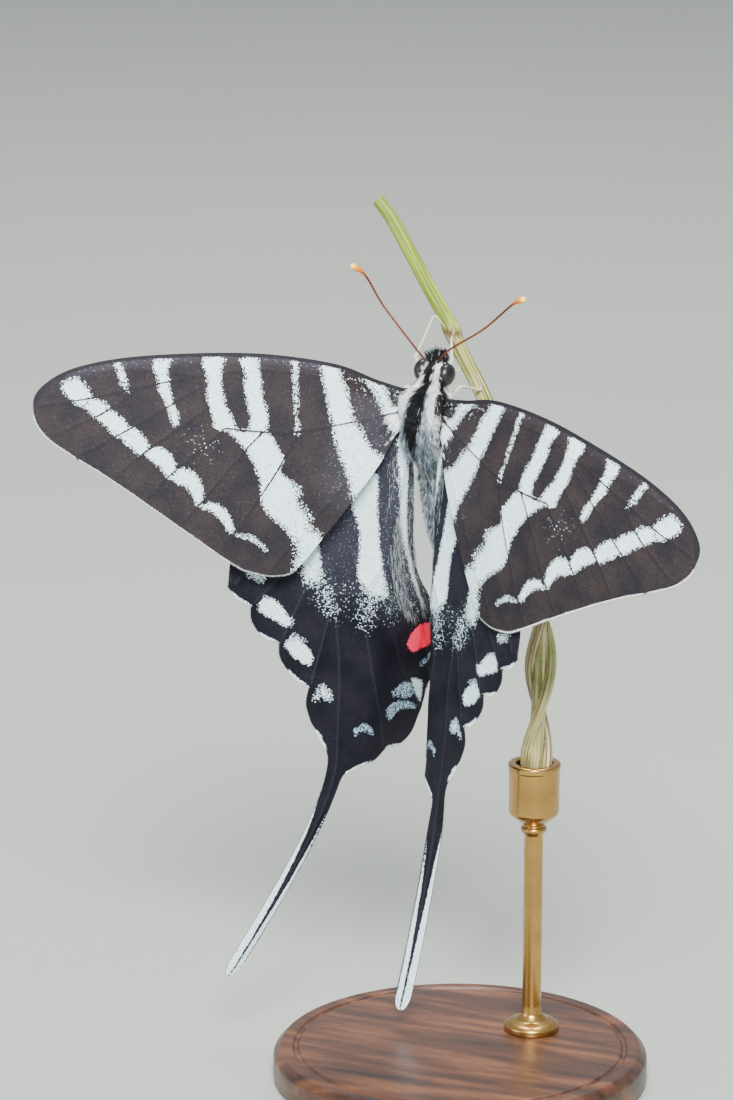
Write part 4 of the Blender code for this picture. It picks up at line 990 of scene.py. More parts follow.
def pale_floor():
    """Matt painted board: pale and even, with a faint mottle."""
    material, tree, shader = new_material("matt_painted_floor", Roughness=0.85, Specular_IOR_Level=0.2)
    place = node(tree, "ShaderNodeTexCoord").outputs["Object"]
    # Mottle about 170 mm across
    mottle = node(tree, "ShaderNodeTexNoise", None, {"Vector": place, "Scale": 6.0, "Detail": 3.0})
    paint = node(tree, "ShaderNodeMix", MIX, {0: mottle, MIX_A: colour("#969c97"), MIX_B: colour("#9ea49f")})
    tree.links.new(paint.outputs[MIX_RESULT], shader.inputs["Base Color"])
    return material


# Wings


def wing_plan(edges, veins):
    """A wing's flat mesh: its points and triangles, with the margin and the vein lines among its edges."""
    loop = np.concatenate([smooth_line(edge, FINE_STEP)[:-1] for edge in edges] + [[edges[-1][-1]]])
    vein_lines = [smooth_line(vein, 1.1 * FINE_STEP) for vein in veins]
    points = [tuple(point) for point in loop]
    lines = [(i, (i + 1) % len(loop)) for i in range(len(loop))]
    for line in vein_lines:
        first = len(points)
        points += [tuple(point) for point in line]
        lines += [(i, i + 1) for i in range(first, len(points) - 1)]
    low, high = loop.min(0), loop.max(0)
    rows = np.arange(low[1], high[1], 0.866 * FINE_STEP)
    grid = np.array([(s + 0.5 * FINE_STEP * (k % 2), c) for k, c in enumerate(rows)
                     for s in np.arange(low[0], high[0], FINE_STEP)])
    grid = grid[inside(grid, loop)]
    clear = distance_to_line(grid, np.vstack([loop, loop[:1]])) > 0.45 * FINE_STEP
    for line in vein_lines:
        clear &= distance_to_line(grid, line) > 0.4 * FINE_STEP
    points += [tuple(point) for point in grid[clear]]
    flat, _, triangles, *_ = delaunay_2d_cdt([Vector(point) for point in points], lines, [], 1, 0.02)
    return np.array([tuple(point) for point in flat]), triangles, loop, vein_lines


def make_wing(kind, name, side, plan, fields, material):
    """A thin closed sheet with raised veins and soft pleats, carrying its marks as fields."""
    flat, triangles, _, vein_lines = plan
    surface = forewing_surface if kind == "fore" else hindwing_surface
    place, _, _, normal = wing_frames(surface, flat, side)
    near = np.min([distance_to_line(flat, line) for line in vein_lines], axis=0)
    pleat = PLEAT_RISE[kind] * np.exp(-((near / PLEAT_WIDTH) ** 2))
    rib = 0.5 * SHEET + VEIN_RISE * np.exp(-((near / VEIN_WIDTH) ** 2))
    upper = place + normal * (pleat + rib)[:, None]
    lower = place + normal * (pleat - rib)[:, None]

    # The plan is laid out flat, doubled and walled in, and its two faces then take their places
    count = len(flat)
    sheet = bpy.data.meshes.new("plan")
    sheet.from_pydata(np.column_stack([flat, np.zeros(count)]), [], triangles)
    bm = bmesh.new()
    bm.from_mesh(sheet)
    bpy.data.meshes.remove(sheet)
    spot = bm.verts.layers.int.new("spot")
    for vertex in bm.verts:
        vertex[spot] = vertex.index
    doubled = bmesh.ops.extrude_face_region(bm, geom=bm.faces[:], use_keep_orig=True)["geom"]
    for vertex in bm.verts:
        vertex.co = upper[vertex[spot]]
    for item in doubled:
        if isinstance(item, bmesh.types.BMVert):
            item.co = lower[item[spot]]
            item[spot] += count
    bmesh.ops.recalc_face_normals(bm, faces=bm.faces)
    bmesh.ops.transform(bm, matrix=frame_matrix() @ Matrix.Scale(MM, 4), verts=bm.verts)
    mesh = bpy.data.meshes.new(f"wing_{kind}_{name}")
    bm.to_mesh(mesh)
    bm.free()
    mesh.shade_smooth()
    mesh.set_sharp_from_angle(angle=radians(50))
    spots = np.empty(len(mesh.vertices), np.int32)
    mesh.attributes["spot"].data.foreach_get("value", spots)
    both = np.vstack([np.column_stack([flat, np.zeros(count)]), np.column_stack([flat + 50, np.ones(count)])])
    keep(mesh, "flat", both[spots])
    keep(mesh, "vein", np.tile(near, 2)[spots])
    for field, (above, beneath) in fields.items():
        keep(mesh, field, np.concatenate([above, beneath])[spots])
    return new_piece(mesh.name, mesh, material, (f"{kind}wing_{name}",))


def costal_distance(flat):
    """Each flat point's distance to the forewing's front margin."""
    return distance_to_line(flat, smooth_line(FORE_EDGES[0][:8], 0.4))


def fore_fields(flat, vein_lines):
    """The forewing's marks for its upper and lower face."""
    s, c = flat.T
    white = np.max([patch_field(flat, patch) for patch in FORE_PATCHES], axis=0)
    white = np.maximum(white, np.max([thread_field(flat, thread) for thread in FORE_THREADS], axis=0))
    margin = costal_distance(flat)
    white = np.minimum(white, 2.0 * (margin - 0.42))
    cut = np.min([distance_to_line(flat, vein_lines[k]) for k in FORE_DARK_VEINS], axis=0)
    cut = np.minimum(cut, np.maximum(margin - 0.34, 0))
    root = smoothstep(1.25 - distance_to_line(flat, ((0.5, 0.5), (3.5, -3.0), (5.0, -9.0))) / 4.4)
    root = root * smoothstep((9.6 - s - 0.25 * c) / 2.0)
    costal = smoothstep((1.6 - margin) / 1.2) * (margin > 0.4) * (s < 37)
    worn = smoothstep(1.0 - np.hypot(s - 22.0, c + 6.6) / 3.2)
    flecked = smoothstep((2.4 - margin) / 1.2) * smoothstep((9.0 - s) / 3.0)
    # Grey scales near the root and along the front margin, with a painted violet-grey sheen over them
    ashen_and_sheen = np.clip(0.08 + 0.26 * root + 0.35 * costal - 0.5 * flecked, 0, 1)
    dust = 0.0015 + 0.012 * root + 0.012 * costal + 0.05 * worn + 0.05 * flecked
    ragged = 0.27 + 0.1 * (s + 0.35 * c < 5.5) + 0.1 * (s > 29) * (c > -1.8)
    ragged = ragged + 0.1 * smoothstep((14.0 - s) / 6.0)
    ragged = ragged + 0.3 * smoothstep((-4.0 - c) / 2.0) * smoothstep((13.0 - s) / 3.0) * (s > 8.5)
    none = np.full(len(flat), -9.0)
    far = np.full(len(flat), 9.0)
    return {
        "white": (white, white + 0.08), "ragged": (ragged, ragged), "dust": (dust, dust),
        "ashen_and_sheen": (ashen_and_sheen, ashen_and_sheen), "cut": (cut, cut), "red": (none, none), "crease": (far, far),
        "blue": (none, none), "below": (0 * s, 0 * s + 1),
    }


def rim_field(flat):
    """How far inside the white rims of the scallops flat places lie; each rim tapers to both ends."""
    fields = []
    for rim in WHITE_FRINGES:
        line = even_line(rim, 9)
        tapered = [(point, RIM_HALF_WIDTH * sin(pi * k / 8) ** 0.6) for k, point in enumerate(line)]
        fields.append(thread_field(flat, tapered))
    return np.max(fields, axis=0)


def tail_field(flat):
    """White edges of the tail: a dark midline narrows to its tip, and its inner margin stays dark."""
    s, c = flat.T
    half = np.interp(-c, TAIL_DARK[0], TAIL_DARK[1])
    edge = np.where(c < -48, s - 6.6, 9.0)
    return np.where(c < -45, np.minimum(np.abs(s - TAIL_MIDDLE) - half, edge), -9.0)


def hind_fields(flat, vein_lines):
    """The hindwing's marks for its upper and lower face; only the lower one has the long red stripe."""
    s, c = flat.T
    white = np.max([patch_field(flat, patch) for patch in HIND_PATCHES], axis=0)
    white = np.maximum(white, np.max([thread_field(flat, thread) for thread in HIND_THREADS], axis=0))
    white = np.maximum(white, tail_field(flat))
    rims = rim_field(flat)
    white = np.maximum(white, rims)
    speckled = np.max([patch_field(flat, patch) for patch in HIND_SPECKLED], axis=0)
    white = np.maximum(white, speckled - 0.12)
    fading = smoothstep((-c - 18.0) / 3.0) * smoothstep((s - 1.0) / 1.5) * (s < 13) * (c > -27)
    outer_fading = smoothstep((-c - 16.6) / 2.6) * smoothstep((s - 7.6) / 1.0) * (s < 13) * (c > -24)
    fading = np.maximum(fading, outer_fading)
    ragged = 0.24 + 0.5 * fading + 0.3 * (speckled > -0.5)
    ragged = np.where(c < -45.0, 0.07, ragged)
    ragged = np.where(rims > -0.5, 0.12, ragged)
    ragged = np.where((s < 3.4 - 0.12 * (-c)) & (c > -22), 0.26, ragged)
    cloud = smoothstep(patch_field(flat, HIND_DUST) / 2.4 + 0.2)
    trails = np.min([distance_to_line(flat, trail) for trail in HIND_TRAILS], axis=0)
    thin = 0.045 + 0.25 * smoothstep(1 - trails / 1.7)
    dust = np.maximum(thin * cloud * smoothstep((-c - 17.0) / 3.0) * smoothstep((c + 27.5) / 6.0), 0.002)
    bed = smoothstep((3.4 - s) / 3.0) * smoothstep((c + 27.0) / 6.0)
    dust = dust + 0.08 * bed
    # Grey scales over the hair bed and the inner wing, with a painted violet-grey sheen over them
    ashen_and_sheen = np.clip(0.4 * bed + 0.33 * smoothstep((c + 24.0) / 8.0) * smoothstep((14.5 - s) / 4.0), 0, 1)
    red = patch_field(flat, HIND_RED)
    stripe_line = smooth_line(UNDER_RED, 0.5)
    stripe = 0.28 - distance_to_line(flat, stripe_line)
    blue = np.max([patch_field(flat, patch) for patch in HIND_BLUE], axis=0)
    # Distance to the red spot's crease, where painted shade deepens the red
    crease = distance_to_line(flat, HIND_SHADED_CREASE)
    far = np.full(len(flat), 9.0)
    pale_edge = np.maximum(white, 0.3 - np.abs(distance_to_line(flat, stripe_line) - 0.75))
    return {
        "white": (white, pale_edge), "ragged": (ragged, ragged), "dust": (dust, 0.4 * dust),
        "ashen_and_sheen": (ashen_and_sheen, ashen_and_sheen), "cut": (far, far), "red": (red, np.maximum(red, stripe)),
        "crease": (crease, crease), "blue": (blue, blue - 0.3), "below": (0 * s, 0 * s + 1),
    }


def make_wings(coat):
    """Both pairs of wings with their fringes and hair."""
    fore_material = wing_scales("brown_black_wing_scales", "#2e2828", "#201e24", "#17151a", "#8a7b6c")
    hind_material = wing_scales("blue_black_wing_scales", "#1c1b26", "#10121b", "#303440", "#7d7268")
    fore = wing_plan(FORE_EDGES, FORE_VEINS)
    hind = wing_plan(HIND_EDGES, HIND_VEINS)
    fore_marks = fore_fields(fore[0], fore[3])
    hind_marks = hind_fields(hind[0], hind[3])
    for side, name in ((-1, "left"), (1, "right")):
        for kind, plan, marks, material in (
            ("fore", fore, fore_marks, fore_material), ("hind", hind, hind_marks, hind_material),
        ):
            # The painted sheen is made weaker on the right wings than on the left ones
            with_painted_sheen = {**marks, "ashen_and_sheen": [PAINTED_SHEEN_BY_SIDE[side] * face for face in marks["ashen_and_sheen"]]}
            make_wing(kind, name, side, plan, with_painted_sheen, material)
        make_fringe(f"fringe_fore_{name}", forewing_surface, side, fore[2], fore_fringe, coat, 71 + side)
        make_fringe(f"fringe_hind_{name}", hindwing_surface, side, hind[2], hind_fringe, coat, 81 + side)
        make_hindwing_hair(name, side, coat)
        make_root_hair(name, side, coat)


def fore_fringe(points):
    """Length and whiteness of the forewing's fringe: a thin white line along the outer margin only."""
    s, c = points.T
    length = np.where((c < -5.0) & (s > 10.0), 0.3, 0.0)
    near = np.min([distance_to_line(points, vein[-2:]) for vein in FORE_VEINS], axis=0)
    return length, np.where(near < 0.45, 0.0, 1.0)


def hind_fringe(points):
    """Length and whiteness of the hindwing's fringe: long and white in scallops, else short and dark."""
    reach = rim_field(points)
    s, c = points.T
    outer = (c < -17.0) & (s > -7.9)
    return np.where(reach > 0.03, 0.08 + 1.8 * reach, np.where(outer, 0.12, 0.0)), (reach > 0.03) * 1.0


def bake_place(flat):
    """A flat wing place on the unit square."""
    return np.column_stack([(flat[:, 0] + 12) / 56, (flat[:, 1] + 76) / 84])


def make_fringe(name, surface, side, loop, rule, material, seed):
    """Short flat hairs that stand out from the margin in the wing's own plane."""
    chance = np.random.default_rng(seed)
    dense = np.vstack([loop, loop[:1]])
    reach = np.concatenate([[0], np.cumsum(np.hypot(*np.diff(dense, axis=0).T))])
    wanted = np.arange(0, reach[-1], 0.03)
    wanted = wanted + chance.uniform(-0.015, 0.015, len(wanted))
    flat, ahead, before = (np.column_stack([np.interp(wanted + step, reach, dense[:, k]) for k in range(2)])
                           for step in (0.0, 0.3, -0.3))
    along = unit(ahead - before)
    outward = np.column_stack([along[:, 1], -along[:, 0]])
    outward *= np.where(inside(flat + 0.1 * outward, loop), -1, 1)[:, None]
    length, white = rule(flat)
    shown = length > 0
    flat, along, outward, length, white = (part[shown] for part in (flat, along, outward, length, white))
    place, right, forward, normal = wing_frames(surface, flat - 0.1 * outward, side)
    way = outward + along * chance.normal(0, 0.18, len(flat))[:, None]
    hairs = {
        "roots": place + normal * chance.uniform(-0.05, 0.05, len(flat))[:, None],
        "normals": normal,
        "lies": unit(right * way[:, :1] + forward * way[:, 1:]),
        "lengths": 0.1 + length * chance.uniform(0.7, 1.1, len(flat)),
        "widths": np.full(len(flat), 0.07),
        "lift": 0.04,
        "droop": 0.04,
        "patch": bake_place(flat),
        "marks": {"white": white, "black": 1 - white, "chance": chance.uniform(0.4, 1, len(flat))},
    }
    tufts(name, hairs, material, levels=2)


def make_hindwing_hair(name, side, material):
    """Long silky hairs that lie back along the hindwing's fold and feather over its inner margin."""
    chance = np.random.default_rng(31 + side)
    drawn = chance.uniform((-6.0, -25.5), (4.0, -1.5), (HAIR_DRAWS, 2))
    thinned = distance_to_line(drawn, HAIR_BED[:5]) > 1.8 * chance.uniform(0, 1, len(drawn)) ** 1.5
    flat = drawn[inside(drawn, np.array(HAIR_BED)) & thinned][:HAIR_COUNT]
    place, right, forward, normal = wing_frames(hindwing_surface, flat, side)
    s, c = flat.T
    edge = np.exp(-distance_to_line(flat, smooth_line(HIND_EDGES[-1], 0.5)) / 0.6)
    turn = 0.05 + 0.4 * smoothstep((-c - 10.0) / 14.0) + 0.55 * edge + chance.normal(0, 0.1, len(flat))
    length = chance.uniform(0.7, 1.9, len(flat)) * (0.6 + 0.4 * smoothstep((-c - 4.0) / 8.0))
    drawn = chance.uniform(0, 1, (4, len(flat)))
    pale = thread_field(flat, HIND_THREADS[0]) + 0.1 * chance.normal(0, 1, len(flat)) > 0.0
    line = np.array([point for point, _ in HIND_THREADS[0]])
    inner = s < np.interp(-c, -line[:, 1], line[:, 0])
    dark = np.where(pale, 0.0, 0.9 * (drawn[1] < np.where(inner, 0.75, 0.55)))
    white = np.where(pale, 1.0, 0.9 * (drawn[0] > 0.68))
    hairs = {
        "roots": place + 0.1 * normal,
        "normals": normal,
        "lies": unit(-right * turn[:, None] - forward),
        "lengths": length * (1 - 0.5 * edge),
        "widths": 0.022 + 0.016 * drawn[3],
        "lift": 0.1 + 0.08 * drawn[2],
        "droop": 0.12,
        "patch": bake_place(flat),
        "marks": {"white": white, "black": dark, "chance": drawn[2] ** 2},
    }
    tufts(f"hindwing_hair_{name}", hairs, material, levels=4)


def make_root_hair(name, side, material):
    """Creamy hair that spreads from the shoulder over the forewing's root."""
    chance = np.random.default_rng(51 + side)
    drawn = chance.uniform((-0.6, -5.2), (3.4, 1.4), (ROOT_HAIR_DRAWS, 2))
    spread = np.hypot(drawn[:, 0], 0.55 * (drawn[:, 1] + 1.6))
    near_root = spread < chance.uniform(0.6, 2.6, len(drawn))
    flat = drawn[near_root & inside(drawn, smooth_line(FORE_EDGES[0], 0.5))]
    place, right, forward, normal = wing_frames(forewing_surface, flat, side)
    s, c = flat.T
    turn = 0.9 * smoothstep((-c - 0.2) / 2.5) + 0.15 + chance.normal(0, 0.15, len(flat))
    drawn = chance.uniform(0, 1, (3, len(flat)))
    pale = (patch_field(flat, FORE_PATCHES[0]) > -0.25 * drawn[1]) | ((c < -0.8) & (s < 0.9 + 0.8 * drawn[0]))
    hairs = {
        "roots": place + 0.08 * normal,
        "normals": normal,
        "lies": unit(right - forward * turn[:, None]),
        "lengths": chance.uniform(0.5, 1.0, len(flat)),
        "widths": chance.uniform(0.05, 0.08, len(flat)),
        "lift": 0.2,
        "droop": 0.2,
        "patch": bake_place(flat),
        "marks": {"white": 1.0 * pale, "black": 0.9 * ~pale, "chance": drawn[2]},
    }
    tufts(f"forewing_root_hair_{name}", hairs, material)


# Body


def even_stations():
    """The skin's stations resampled at even distances along its middle."""
    dense = smooth_line(SKIN_STATIONS, 0.1)
    reach = np.concatenate([[0], np.cumsum(np.hypot(*np.diff(dense[:, :2], axis=0).T))])
    wanted = np.linspace(0, reach[-1], SKIN_RINGS)
    return np.stack([np.interp(wanted, reach, dense[:, k]) for k in range(6)], -1)


def skin_surface(t, angle):
    """Skin places at shares t from face to tail, at angles from the body's right side over its back."""
    spots = np.linspace(0, 1, SKIN_RINGS)
    y, z, wide, up, down, lean = (np.interp(t, spots, SKIN_LINE[:, k]) for k in range(6))
    lean = np.radians(lean)
    past = SEGMENT_START - y
    crease = np.abs((past / SEGMENT_LENGTH + 0.5) % 1 - 0.5) * SEGMENT_LENGTH
    tuck = 1 - SEGMENT_CREASE * np.exp(-((crease / 0.22) ** 2)) * (past > -0.3)
    reach = np.where(np.sin(angle) > 0, up, down) * np.sin(angle) * tuck
    return np.stack([wide * tuck * np.cos(angle), y - np.sin(lean) * reach, z + np.cos(lean) * reach], -1)


def clumps(places, columns, seed):
    """Random numbers that neighbouring hairs share, so that the coat parts into small locks."""
    cells = np.floor(np.asarray(places) / CLUMP).astype(int)
    spots = (cells * (73, 179, 283)).sum(-1) % 4001
    return np.random.default_rng(seed).normal(0, 1, (4001, columns))[spots]


def body_marks(points):
    """How white and how black the coat is at places on the body, by its stripes."""
    lines = SKIN_LINE[:, :2]
    nearest = np.argmin(((points[:, None, 1:] - lines[None]) ** 2).sum(-1), axis=1)
    y, z, _, _, _, lean = SKIN_LINE[nearest].T
    lean = np.radians(lean)
    height = -np.sin(lean) * (points[:, 1] - y) + np.cos(lean) * (points[:, 2] - z)
    signed = np.degrees(np.arctan2(-points[:, 0], height)) - STRIPE_TURN
    turn = np.abs(signed)
    heights, *ends = np.array(STRIPES).T
    before_black, before_grey, before_white, before_flank = (
        smoothstep((np.interp(y, heights, end) - turn) / STRIPE_SOFTNESS + 0.5) for end in ends
    )
    rear = smoothstep((-3.0 - y) / 2.0)
    black = before_black * (1 - 0.6 * rear) + (before_flank - before_white) * (1 - 0.7 * rear)
    fade = np.where(signed < 0, 0.75, 0.2) * smoothstep((-1.0 - y) / 1.8)
    white = (before_white - before_grey) * (1 - fade) + (1 - before_flank) * 0.85
    streaked = 0.22 * rear * (1 - before_grey) + 0.2 * rear
    white = white * (1 - 0.45 * rear) + streaked * (1 - before_black)
    return np.clip(white, 0, 1), np.clip(black, 0, 1)


def make_skin(material):
    """One skin over head, thorax and abdomen, with the wing-root lobes and the two palps set into it."""
    bm = bmesh.new()
    wrap(bm, SKIN_RINGS, 56, skin_surface)
    for side in (-1, 1):
        x, y, z = SHOULDER_CENTRE
        made = add_ball(bm, (0, 0, 0), SHOULDER_RADII, 32)
        tilt = Matrix.Rotation(-SHOULDER_TILT * side, 3, "Y")
        bmesh.ops.rotate(bm, cent=(0, 0, 0), matrix=tilt, verts=made)
        bmesh.ops.translate(bm, vec=(x * side, y, z), verts=made)
        line, radii = palp(side)
        add_tube(bm, line, radii, 16)
    mesh = mesh_from_bmesh("body_skin", bm, 80)
    places = places_of(mesh)
    white, black = body_marks(places)
    # The face in front of the eyes is black
    front = smoothstep((places[:, 1] - 4.8) / 0.3)
    keep(mesh, "white", white * (1 - front))
    keep(mesh, "black", np.maximum(black, front))
    # The skin under the coat takes the same painted shade as the hairs' roots
    keep(mesh, "along", np.full(len(places), 0.3))
    keep(mesh, "chance", np.full(len(places), 0.3))
    return new_piece("body_skin", mesh, material, ("head", "thorax", "abdomen"))


def palp(side):
    """One palp's line from the mouth forwards, and its radii."""
    line = even_line([(x * side, y, z) for x, y, z in PALP_ROUTE], 14)
    return line, np.interp(np.linspace(0, 1, 14), (0, 0.5, 0.88, 1), (0.42, 0.38, 0.22, 0.08))


def body_hairs(first, last, count, seed):
    """Up to `count` hairs between two y places, spread evenly over the skin and lying back along it."""
    chance = np.random.default_rng(seed)
    t = chance.uniform(0, 1, DRAWS_PER_HAIR * count)
    angle = chance.uniform(0, 2 * pi, len(t))
    spots = np.linspace(0, 1, SKIN_RINGS)
    y, wide, up, down = (np.interp(t, spots, SKIN_LINE[:, k]) for k in (0, 2, 3, 4))
    girth = (wide + up + down) / (SKIN_LINE[:, 2] + SKIN_LINE[:, 3] + SKIN_LINE[:, 4]).max()
    wanted = (y < first) & (y >= last) & (chance.uniform(0, 1, len(t)) < girth)
    t, angle, y = t[wanted][:count], angle[wanted][:count], y[wanted][:count]
    step = 1e-3
    back = unit(skin_surface(np.minimum(t + step, 1), angle) - skin_surface(t, angle))
    round_it = unit(skin_surface(t, angle + step) - skin_surface(t, angle - step))
    roots = skin_surface(t, angle)
    normals = unit(np.cross(round_it, back))
    table = np.array(HAIRS).T
    length, rise, droop, parting = (np.interp(y, table[0], table[k]) for k in range(1, 5))
    from_back = (angle - pi / 2 + pi) % (2 * pi) - pi
    shared = clumps(roots, 6, seed)
    own = chance.normal(0, 1, (len(t), 2))
    drift = np.sign(from_back) * parting * np.abs(np.sin(from_back)) + 0.16 * shared[:, 0] + 0.1 * own[:, 0]
    lies = unit(back + round_it * drift[:, None])
    rise = rise * np.clip(1 + 0.2 * shared[:, 1] + 0.15 * own[:, 1], 0.5, 1.6)
    ragged = round_it * (0.13 * shared[:, 2:3]) + back * (0.16 * shared[:, 3:4])
    shown = lies * (0.5 * length[:, None]) + normals * (0.3 * (rise * length)[:, None])
    white, black = body_marks(roots + ragged + shown)
    draw = chance.uniform(0, 1, (2, len(t)))
    return {
        "roots": roots - 0.04 * normals,
        "normals": normals,
        "lies": lies,
        "lengths": length * np.clip(1 + 0.12 * shared[:, 4], 0.7, 1.3) * chance.uniform(0.65, 1.15, len(t)),
        "widths": np.interp(y, (-6, -1, 2), (0.075, 0.07, 0.055)) * chance.uniform(0.8, 1.2, len(t)),
        "lift": rise,
        "droop": droop,
        "patch": np.column_stack([angle / (2 * pi), t]) * 0.99,
        "marks": {
            "white": (draw[0] < white) * 1.0,
            "black": (draw[1] < black) * 1.0,
            "chance": np.clip(0.5 + 0.3 * shared[:, 5] + chance.uniform(-0.25, 0.25, len(t)), 0, 1),
        },
    }


def tube_hairs(line, radii, count, seed, length, lift, tones, span=(0.0, 1.0)):
    """Hairs all round a tube that lie along it towards its far end."""
    chance = np.random.default_rng(seed)
    line = np.asarray(line, float)
    tangents, frames = tube_frames(line)
    t = chance.uniform(*span, count)
    spot = t * (len(line) - 1)
    k = np.minimum(spot.astype(int), len(line) - 2)
    part = (spot - k)[:, None]
    middle = line[k] * (1 - part) + line[k + 1] * part
    radius = np.interp(spot, np.arange(len(line)), radii)
    angle = chance.uniform(0, 2 * pi, count)
    normals = unit(np.cos(angle)[:, None] * frames[k, 0] + np.sin(angle)[:, None] * frames[k, 1])
    white, black = tones
    rise = lift * chance.uniform(0.7, 1.3, count)
    return {
        "roots": middle + 0.95 * radius[:, None] * normals,
        "normals": normals,
        "lies": unit(tangents[k] + 0.15 * chance.normal(0, 1, (count, 3))),
        "lengths": length * chance.uniform(0.6, 1.2, count),
        "widths": 0.045 * chance.uniform(0.8, 1.2, count),
        "lift": rise,
        "droop": 0.6 * rise,
        "patch": np.column_stack([angle / (2 * pi), t]) * 0.99,
        "marks": {
            "white": (chance.uniform(0, 1, count) < white) * 1.0,
            "black": (chance.uniform(0, 1, count) < black) * 1.0,
            "chance": chance.uniform(0, 1, count),
        },
    }


def crest_hairs(seed):
    """Black bristles that fan forward and up from the front of the head."""
    hairs = body_hairs(*CREST_SPAN, CREST_HAIRS, seed)
    chance = np.random.default_rng(seed + 1)
    count = len(hairs["roots"])
    above = hairs["roots"][:, 2] > -3.3
    shared = clumps(hairs["roots"], 3, seed + 2)
    forward = np.array([0, 1.0, 0.35]) + 0.16 * shared + 0.1 * chance.normal(0, 1, (count, 3))
    forward[:, 0] += 1.1 * hairs["roots"][:, 0]
    forward = unit(forward)
    lies = unit(forward - 0.5 * hairs["normals"] * (forward * hairs["normals"]).sum(-1, keepdims=True))
    across = np.cross(lies, hairs["normals"])
    hairs["lies"] = lies
    hairs["normals"] = unit(np.cross(across, lies) + 1e-3)
    hairs["lengths"] = np.where(above, chance.uniform(0.4, 1.15, count), chance.uniform(0.2, 0.5, count))
    hairs["widths"] = chance.uniform(0.03, 0.055, count)
    hairs["lift"] = 0.25
    hairs["droop"] = 0.2
    hairs["marks"]["black"] = (chance.uniform(0, 1, count) < np.where(above, 0.98, 0.6)) * 1.0
    hairs["marks"]["white"] = 1.0 - hairs["marks"]["black"]
    return hairs


def shoulder_hairs(side, seed):
    """Cream hair over the lobe at the wing's root, combed out and back over the wing."""
    chance = np.random.default_rng(seed)
    count = SHOULDER_HAIRS
    way = unit(chance.normal(0, 1, (count, 3)))
    way[:, 2] = np.abs(way[:, 2])
    centre = np.array(SHOULDER_CENTRE) * (side, 1, 1)
    tilt = np.array(Matrix.Rotation(-SHOULDER_TILT * side, 3, "Y"))
    roots = centre + (way * SHOULDER_RADII) @ tilt.T
    normals = unit((way / SHOULDER_RADII) @ tilt.T)
    comb = np.array([0.75 * side, -1.0, 0.1])
    lies = comb - normals * (normals @ comb)[:, None] + 0.15 * chance.normal(0, 1, (count, 3))
    outer = smoothstep(0.5 + 2.0 * side * way[:, 0])
    dark = way[:, 1] + 0.12 * chance.normal(0, 1, count) > 1.6 - SHOULDER_DARK[side] * outer
    return {
        "roots": roots,
        "normals": normals,
        "lies": unit(lies),
        "lengths": chance.uniform(0.5, 0.9, count),
        "widths": chance.uniform(0.045, 0.07, count),
        "lift": 0.22,
        "droop": 0.25,
        "patch": np.column_stack([np.arctan2(way[:, 1], way[:, 0]) / (2 * pi) + 0.5, way[:, 2]]) * 0.99,
        "marks": {"white": 1.0 - dark, "black": 1.0 * dark, "chance": chance.uniform(0, 1, count)},
    }


def make_coat(coat):
    """The hair of head, thorax, abdomen, wing roots and palps."""
    tufts("coat_face", crest_hairs(11), coat)
    for number, (part, first, last, count) in enumerate(COAT_PARTS):
        tufts(f"coat_{part}", body_hairs(first, last, count, 12 + number), coat)
    for side, name in ((-1, "left"), (1, "right")):
        tufts(f"coat_shoulder_{name}", shoulder_hairs(side, 17 + side), coat)
        line, radii = palp(side)
        hairs = tube_hairs(line, radii, PALP_HAIRS, 21 + side, 0.42, 0.5, (0.3, 0.97), (0.1, 1.0))
        tufts(f"coat_palp_{name}", hairs, coat)


def make_eyes(lens):
    """The two eyes as smooth balls that the facets are drawn on."""
    for side, name in ((-1, "left"), (1, "right")):
        bm = bmesh.new()
        x, y, z = EYE_CENTRE
        add_ball(bm, (x * side, y, z), EYE_RADII, 64)
        mesh = mesh_from_bmesh(f"compound_eye_{name}", bm, 80)
        new_piece(mesh.name, mesh, lens, (f"eye_{name}",))


def keep_run(mesh, line):
    """Store each vertex's distance along a line and its share of it."""
    line = np.asarray(line, float)
    reach = np.concatenate([[0], np.cumsum(np.linalg.norm(np.diff(line, axis=0), axis=1))])
    places = places_of(mesh)
    nearest = np.empty(len(places), int)
    for first in range(0, len(places), 2000):
        part = places[first:first + 2000]
        nearest[first:first + 2000] = np.argmin(((part[:, None] - line[None]) ** 2).sum(-1), axis=1)
    keep(mesh, "reach", reach[nearest])
    keep(mesh, "share", reach[nearest] / reach[-1])


def make_antennae(horn):
    """Two slender antennae, each thickening to a club."""
    shares, radii = np.array(ANTENNA_RADII).T
    for side, name in ((-1, "left"), (1, "right")):
        line = even_line(ANTENNA_ROUTES[side], 360)
        bm = bmesh.new()
        add_tube(bm, line, np.interp(np.linspace(0, 1, 360), shares, radii), 14)
        mesh = mesh_from_bmesh(f"ringed_antenna_{name}", bm, 80)
        keep_run(mesh, line)
        new_piece(mesh.name, mesh, horn, (f"antenna_{name}",))


def make_tongue(horn):
    """The coiled tongue, wound up under the face from the mouth."""
    x, y, z = COIL_CENTRE
    turns = np.linspace(0, 1, 130)
    angle = pi / 2 + 0.4 - 2 * pi * COIL_TURNS * turns
    radius = COIL_RADIUS * (1 - 0.72 * turns)
    coil = np.column_stack([0 * turns + x, y + radius * np.cos(angle), z + radius * np.sin(angle)])
    line = np.vstack([even_line(((0, 4.4, -3.1), (0, 4.6, -3.5), tuple(coil[0])), 12)[:-1], coil])
    bm = bmesh.new()
    add_tube(bm, line, np.interp(np.linspace(0, 1, len(line)), (0, 1), (COIL_WIRE, 0.06)), 12)
    mesh = mesh_from_bmesh("coiled_tongue", bm, 80)
    keep_run(mesh, line)
    shares = np.empty(len(mesh.vertices), np.float32)
    mesh.attributes["share"].data.foreach_get("value", shares)
    mesh.attributes["share"].data.foreach_set("value", 0.06 * shares)
    new_piece(mesh.name, mesh, horn, ("proboscis",))


# Vine


